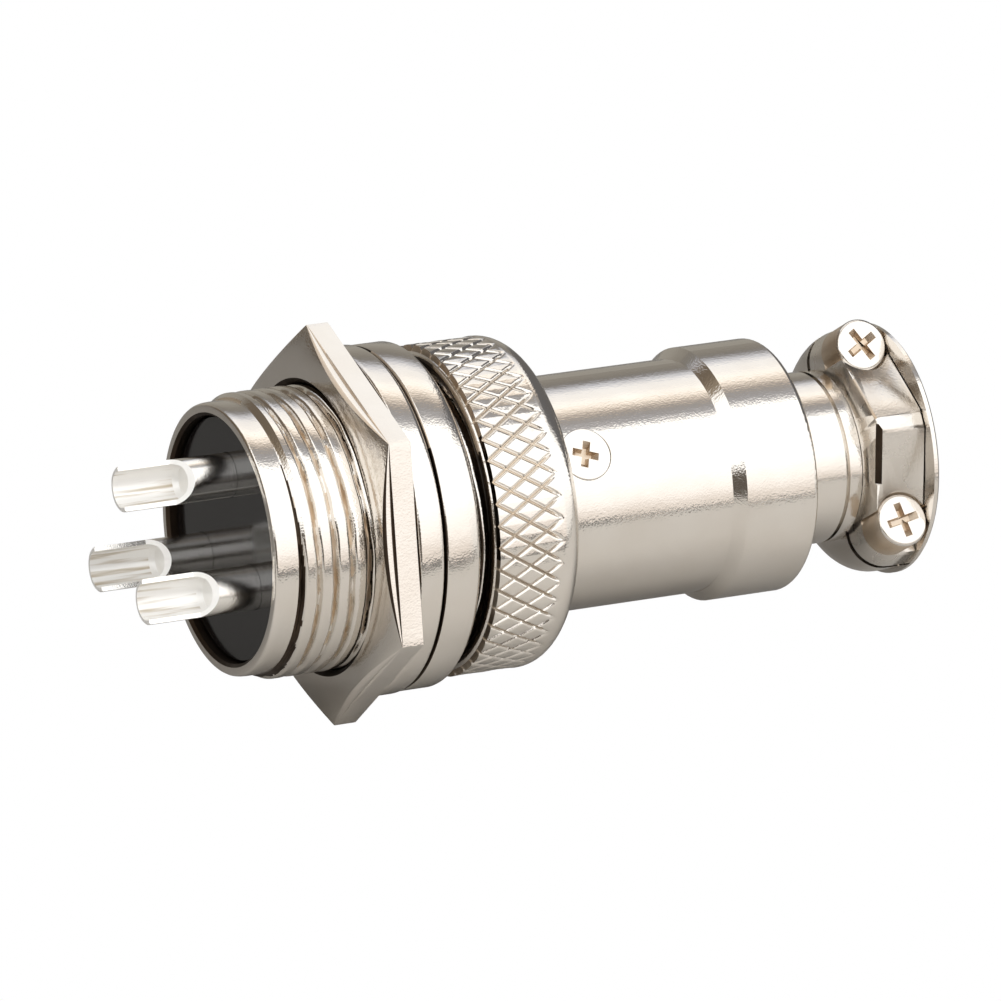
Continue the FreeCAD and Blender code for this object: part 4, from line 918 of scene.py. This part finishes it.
class CONNECTOR_OT_stage(bpy.types.Operator):
    """Camera, pale table, light tent and background"""

    bl_idname = "connector.stage"
    bl_label = "Camera, table and light"

    def execute(self, context):
        sizes = context.scene.connector_studio
        finish = context.scene.connector_finish
        back = (math.sin(sizes.azimuth) * math.cos(sizes.elevation),
                -math.cos(sizes.azimuth) * math.cos(sizes.elevation), math.sin(sizes.elevation))
        camera = bpy.data.objects.new("Camera", bpy.data.cameras.new("Camera"))
        camera.location = [sizes.distance * way for way in back]
        camera.location.x += sizes.aim
        camera.rotation_euler = (math.pi / 2 - sizes.elevation, 0, sizes.azimuth)
        camera.data.lens = sizes.lens
        camera.data.sensor_width = 36
        camera.data.clip_start = 10 * MM
        context.scene.collection.objects.link(camera)
        context.scene.camera = camera
        self.add_table(context, finish.floor)
        self.add_tent(context, sizes.tent)
        self.add_background(context)
        context.scene.view_settings.view_transform = "Standard"
        return {"FINISHED"}

    def add_table(self, context, tone):
        """Pale table with painted shade: it reflects darker behind the connector and along its own
        front edge.

        To the camera it is plain white. The dark strip at the edge gives the metal its horizon
        line, wide to the left of x 26 mm and narrow to the right of x 31 mm.
        """
        low, front, back, half = CAD_BOX[0][2], -0.052, 0.7, 0.5
        corners = [(-half, front, low), (half, front, low), (half, back, low), (-half, back, low)]
        mesh = bpy.data.meshes.new("table")
        mesh.from_pydata(corners, [], [(0, 1, 2, 3)])
        made = new_material("Pale matt table")
        tree = made.node_tree
        rays = add_node(tree, "ShaderNodeLightPath")
        place = add_node(tree, "ShaderNodeTexCoord").outputs["Object"]
        parts = add_node(tree, "ShaderNodeSeparateXYZ", sockets={"Vector": place})
        mottle = add_node(tree, "ShaderNodeTexNoise",
                          sockets={"Vector": place, "Scale": 1 / (6 * MM), "Detail": 3.0})
        paper = add_node(tree, "ShaderNodeMix", {"data_type": "RGBA"},
                         {"Factor": mottle.outputs["Fac"], "A": (*tone, 1),
                          "B": (*(0.94 * part for part in tone), 1)})
        # Painted shade: the table's colour darkens behind the connector.
        shade = add_node(tree, "ShaderNodeMapRange", {"interpolation_type": "SMOOTHSTEP"},
                         {"Value": parts.outputs["Y"], "From Min": -16 * MM, "From Max": 13 * MM,
                          "To Min": 1.0, "To Max": 0.4})
        # Painted shade: a dark strip along the front edge of the table, wide on the left and
        # narrow on the right.
        ends = []
        for left, right in ((-44, -47), (-36, -42)):
            ends.append(add_node(tree, "ShaderNodeMapRange", {"interpolation_type": "SMOOTHSTEP"},
                                 {"Value": parts.outputs["X"], "From Min": 26 * MM,
                                  "From Max": 31 * MM, "To Min": left * MM,
                                  "To Max": right * MM}).outputs["Result"])
        edge = add_node(tree, "ShaderNodeMapRange",
                        sockets={"Value": parts.outputs["Y"], "From Min": ends[0],
                                 "From Max": ends[1], "To Min": 0.02, "To Max": 1.0})
        both = add_node(tree, "ShaderNodeMath", {"operation": "MULTIPLY"},
                        {0: shade.outputs["Result"], 1: edge.outputs["Result"]})
        graded = add_node(tree, "ShaderNodeVectorMath", {"operation": "SCALE"},
                          {"Vector": paper.outputs["Result"], "Scale": both.outputs["Value"]})
        matt = add_node(tree, "ShaderNodeBsdfPrincipled",
                        sockets={"Base Color": graded.outputs["Vector"], "Roughness": 0.6})
        white = add_node(tree, "ShaderNodeEmission", sockets={"Color": (1, 1, 1, 1)})
        shown = add_node(tree, "ShaderNodeMixShader",
                         sockets={0: rays.outputs["Is Camera Ray"], 1: matt.outputs["BSDF"],
                                  2: white.outputs["Emission"]})
        add_node(tree, "ShaderNodeOutputMaterial", sockets={"Surface": shown.outputs["Shader"]})
        mesh.materials.append(made)
        table = bpy.data.objects.new("table", mesh)
        context.scene.collection.objects.link(table)

    def add_tent(self, context, radius):
        """Drum of white cloth over the connector, open below, with grey gaps in its light."""
        steps, half = 96, 0.75
        low, high = math.radians(TENT_LIGHT[0][0]), math.radians(TENT_LIGHT[-1][0])
        points = [(-half, 0, 0), (half, 0, 0)]
        faces = []
        for step in range(steps + 1):
            angle = low + (high - low) * step / steps
            for along in (-half, half):
                points.append((along, -radius * math.cos(angle), radius * math.sin(angle)))
            if step:
                at = 2 * step + 2
                faces += [(at - 2, at - 1, at + 1, at), (0, at - 2, at), (1, at + 1, at - 1)]
        mesh = bpy.data.meshes.new("light_tent")
        mesh.from_pydata(points, [], faces)
        made = new_material("Light tent cloth")
        tree = made.node_tree
        place = add_node(tree, "ShaderNodeTexCoord").outputs["Object"]
        parts = add_node(tree, "ShaderNodeSeparateXYZ", sockets={"Vector": place})
        angle = add_node(tree, "ShaderNodeMath", {"operation": "ARCTAN2"},
                         {0: parts.outputs["Y"], 1: parts.outputs["Z"]})
        share = add_node(tree, "ShaderNodeMapRange",
                         sockets={"Value": angle.outputs["Value"], "From Min": -math.pi,
                                  "From Max": math.pi})
        seen = self.light_ramp(tree, share.outputs["Result"], TENT_LIGHT)
        for light, start, end in ((CUP_SIDE_LIGHT, -0.22, -0.27), (CLAMP_SIDE_LIGHT, 0.4, 0.44)):
            beyond = add_node(tree, "ShaderNodeMapRange",
                              sockets={"Value": parts.outputs["X"], "From Min": start,
                                       "From Max": end})
            seen = add_node(tree, "ShaderNodeMix", {"data_type": "RGBA"},
                            {"Factor": beyond.outputs["Result"], "A": seen,
                             "B": self.light_ramp(tree, share.outputs["Result"], light)})
            seen = seen.outputs["Result"]
        glow = add_node(tree, "ShaderNodeEmission", sockets={"Color": seen, "Strength": 2.0})
        add_node(tree, "ShaderNodeOutputMaterial", sockets={"Surface": glow.outputs["Emission"]})
        mesh.materials.append(made)
        tent = bpy.data.objects.new("light_tent", mesh)
        context.scene.collection.objects.link(tent)
        tent.visible_camera = False

    def light_ramp(self, tree, share, lights):
        """Colour output of a ramp that holds half of each light, by elevation."""
        ramp = add_node(tree, "ShaderNodeValToRGB", sockets={"Fac": share})
        stops = ramp.color_ramp.elements
        while len(stops) > 1:
            stops.remove(stops[-1])
        for index, (degrees, light) in enumerate(lights):
            place = (degrees + 90) / 360
            stop = stops[0] if index == 0 else stops.new(place)
            stop.position = place
            stop.color = (*(part / 2 for part in light), 1)
        return ramp.outputs["Color"]

    def add_background(self, context):
        """White world for what the camera, metal and gaps see, and soft light for the rest."""
        world = bpy.data.worlds.new("White studio")
        world.use_nodes = True
        tree = world.node_tree
        tree.nodes.clear()
        rays = add_node(tree, "ShaderNodeLightPath")
        seen = add_node(tree, "ShaderNodeMath", {"operation": "MAXIMUM"},
                        {0: rays.outputs["Is Camera Ray"], 1: rays.outputs["Is Glossy Ray"]})
        clear = add_node(tree, "ShaderNodeMath", {"operation": "MAXIMUM"},
                         {0: seen.outputs["Value"], 1: rays.outputs["Is Transmission Ray"]})
        tone = add_node(tree, "ShaderNodeMix", {"data_type": "RGBA"},
                        {"Factor": clear.outputs["Value"], "A": (0.8, 0.79, 0.77, 1),
                         "B": (1, 1, 1, 1)})
        sky = add_node(tree, "ShaderNodeBackground", sockets={"Color": tone.outputs["Result"]})
        add_node(tree, "ShaderNodeOutputWorld", sockets={"Surface": sky.outputs["Background"]})
        context.scene.world = world


OPERATORS = (CONNECTOR_OT_stage, CONNECTOR_OT_receptacle_shell, CONNECTOR_OT_insulators,
             CONNECTOR_OT_contacts, CONNECTOR_OT_hardware, CONNECTOR_OT_plug,
             CONNECTOR_OT_coupling_ring, CONNECTOR_OT_clamp)


class CONNECTOR_PT_panel(bpy.types.Panel):
    """Sizes, colours and pieces of the connector"""

    bl_idname = "CONNECTOR_PT_panel"
    bl_label = "Connector"
    bl_space_type = "VIEW_3D"
    bl_region_type = "UI"
    bl_category = "Connector"

    def draw(self, context):
        for name in GROUPS:
            box = self.layout.box()
            group = getattr(context.scene, name)
            for item in type(group).__annotations__:
                box.prop(group, item)
        for operator in OPERATORS:
            self.layout.operator(operator.bl_idname)


def register():
    for name, group in GROUPS.items():
        bpy.utils.register_class(group)
        setattr(bpy.types.Scene, name, bpy.props.PointerProperty(type=group))
    for operator in OPERATORS:
        bpy.utils.register_class(operator)
    bpy.utils.register_class(CONNECTOR_PT_panel)


def unregister():
    bpy.utils.unregister_class(CONNECTOR_PT_panel)
    for operator in reversed(OPERATORS):
        bpy.utils.unregister_class(operator)
    for name, group in reversed(GROUPS.items()):
        delattr(bpy.types.Scene, name)
        bpy.utils.unregister_class(group)


def main():
    """Registers the add-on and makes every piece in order."""
    register()
    for operator in OPERATORS:
        group, action = operator.bl_idname.split(".")
        getattr(getattr(bpy.ops, group), action)()


if __name__ == "__main__":
    main()
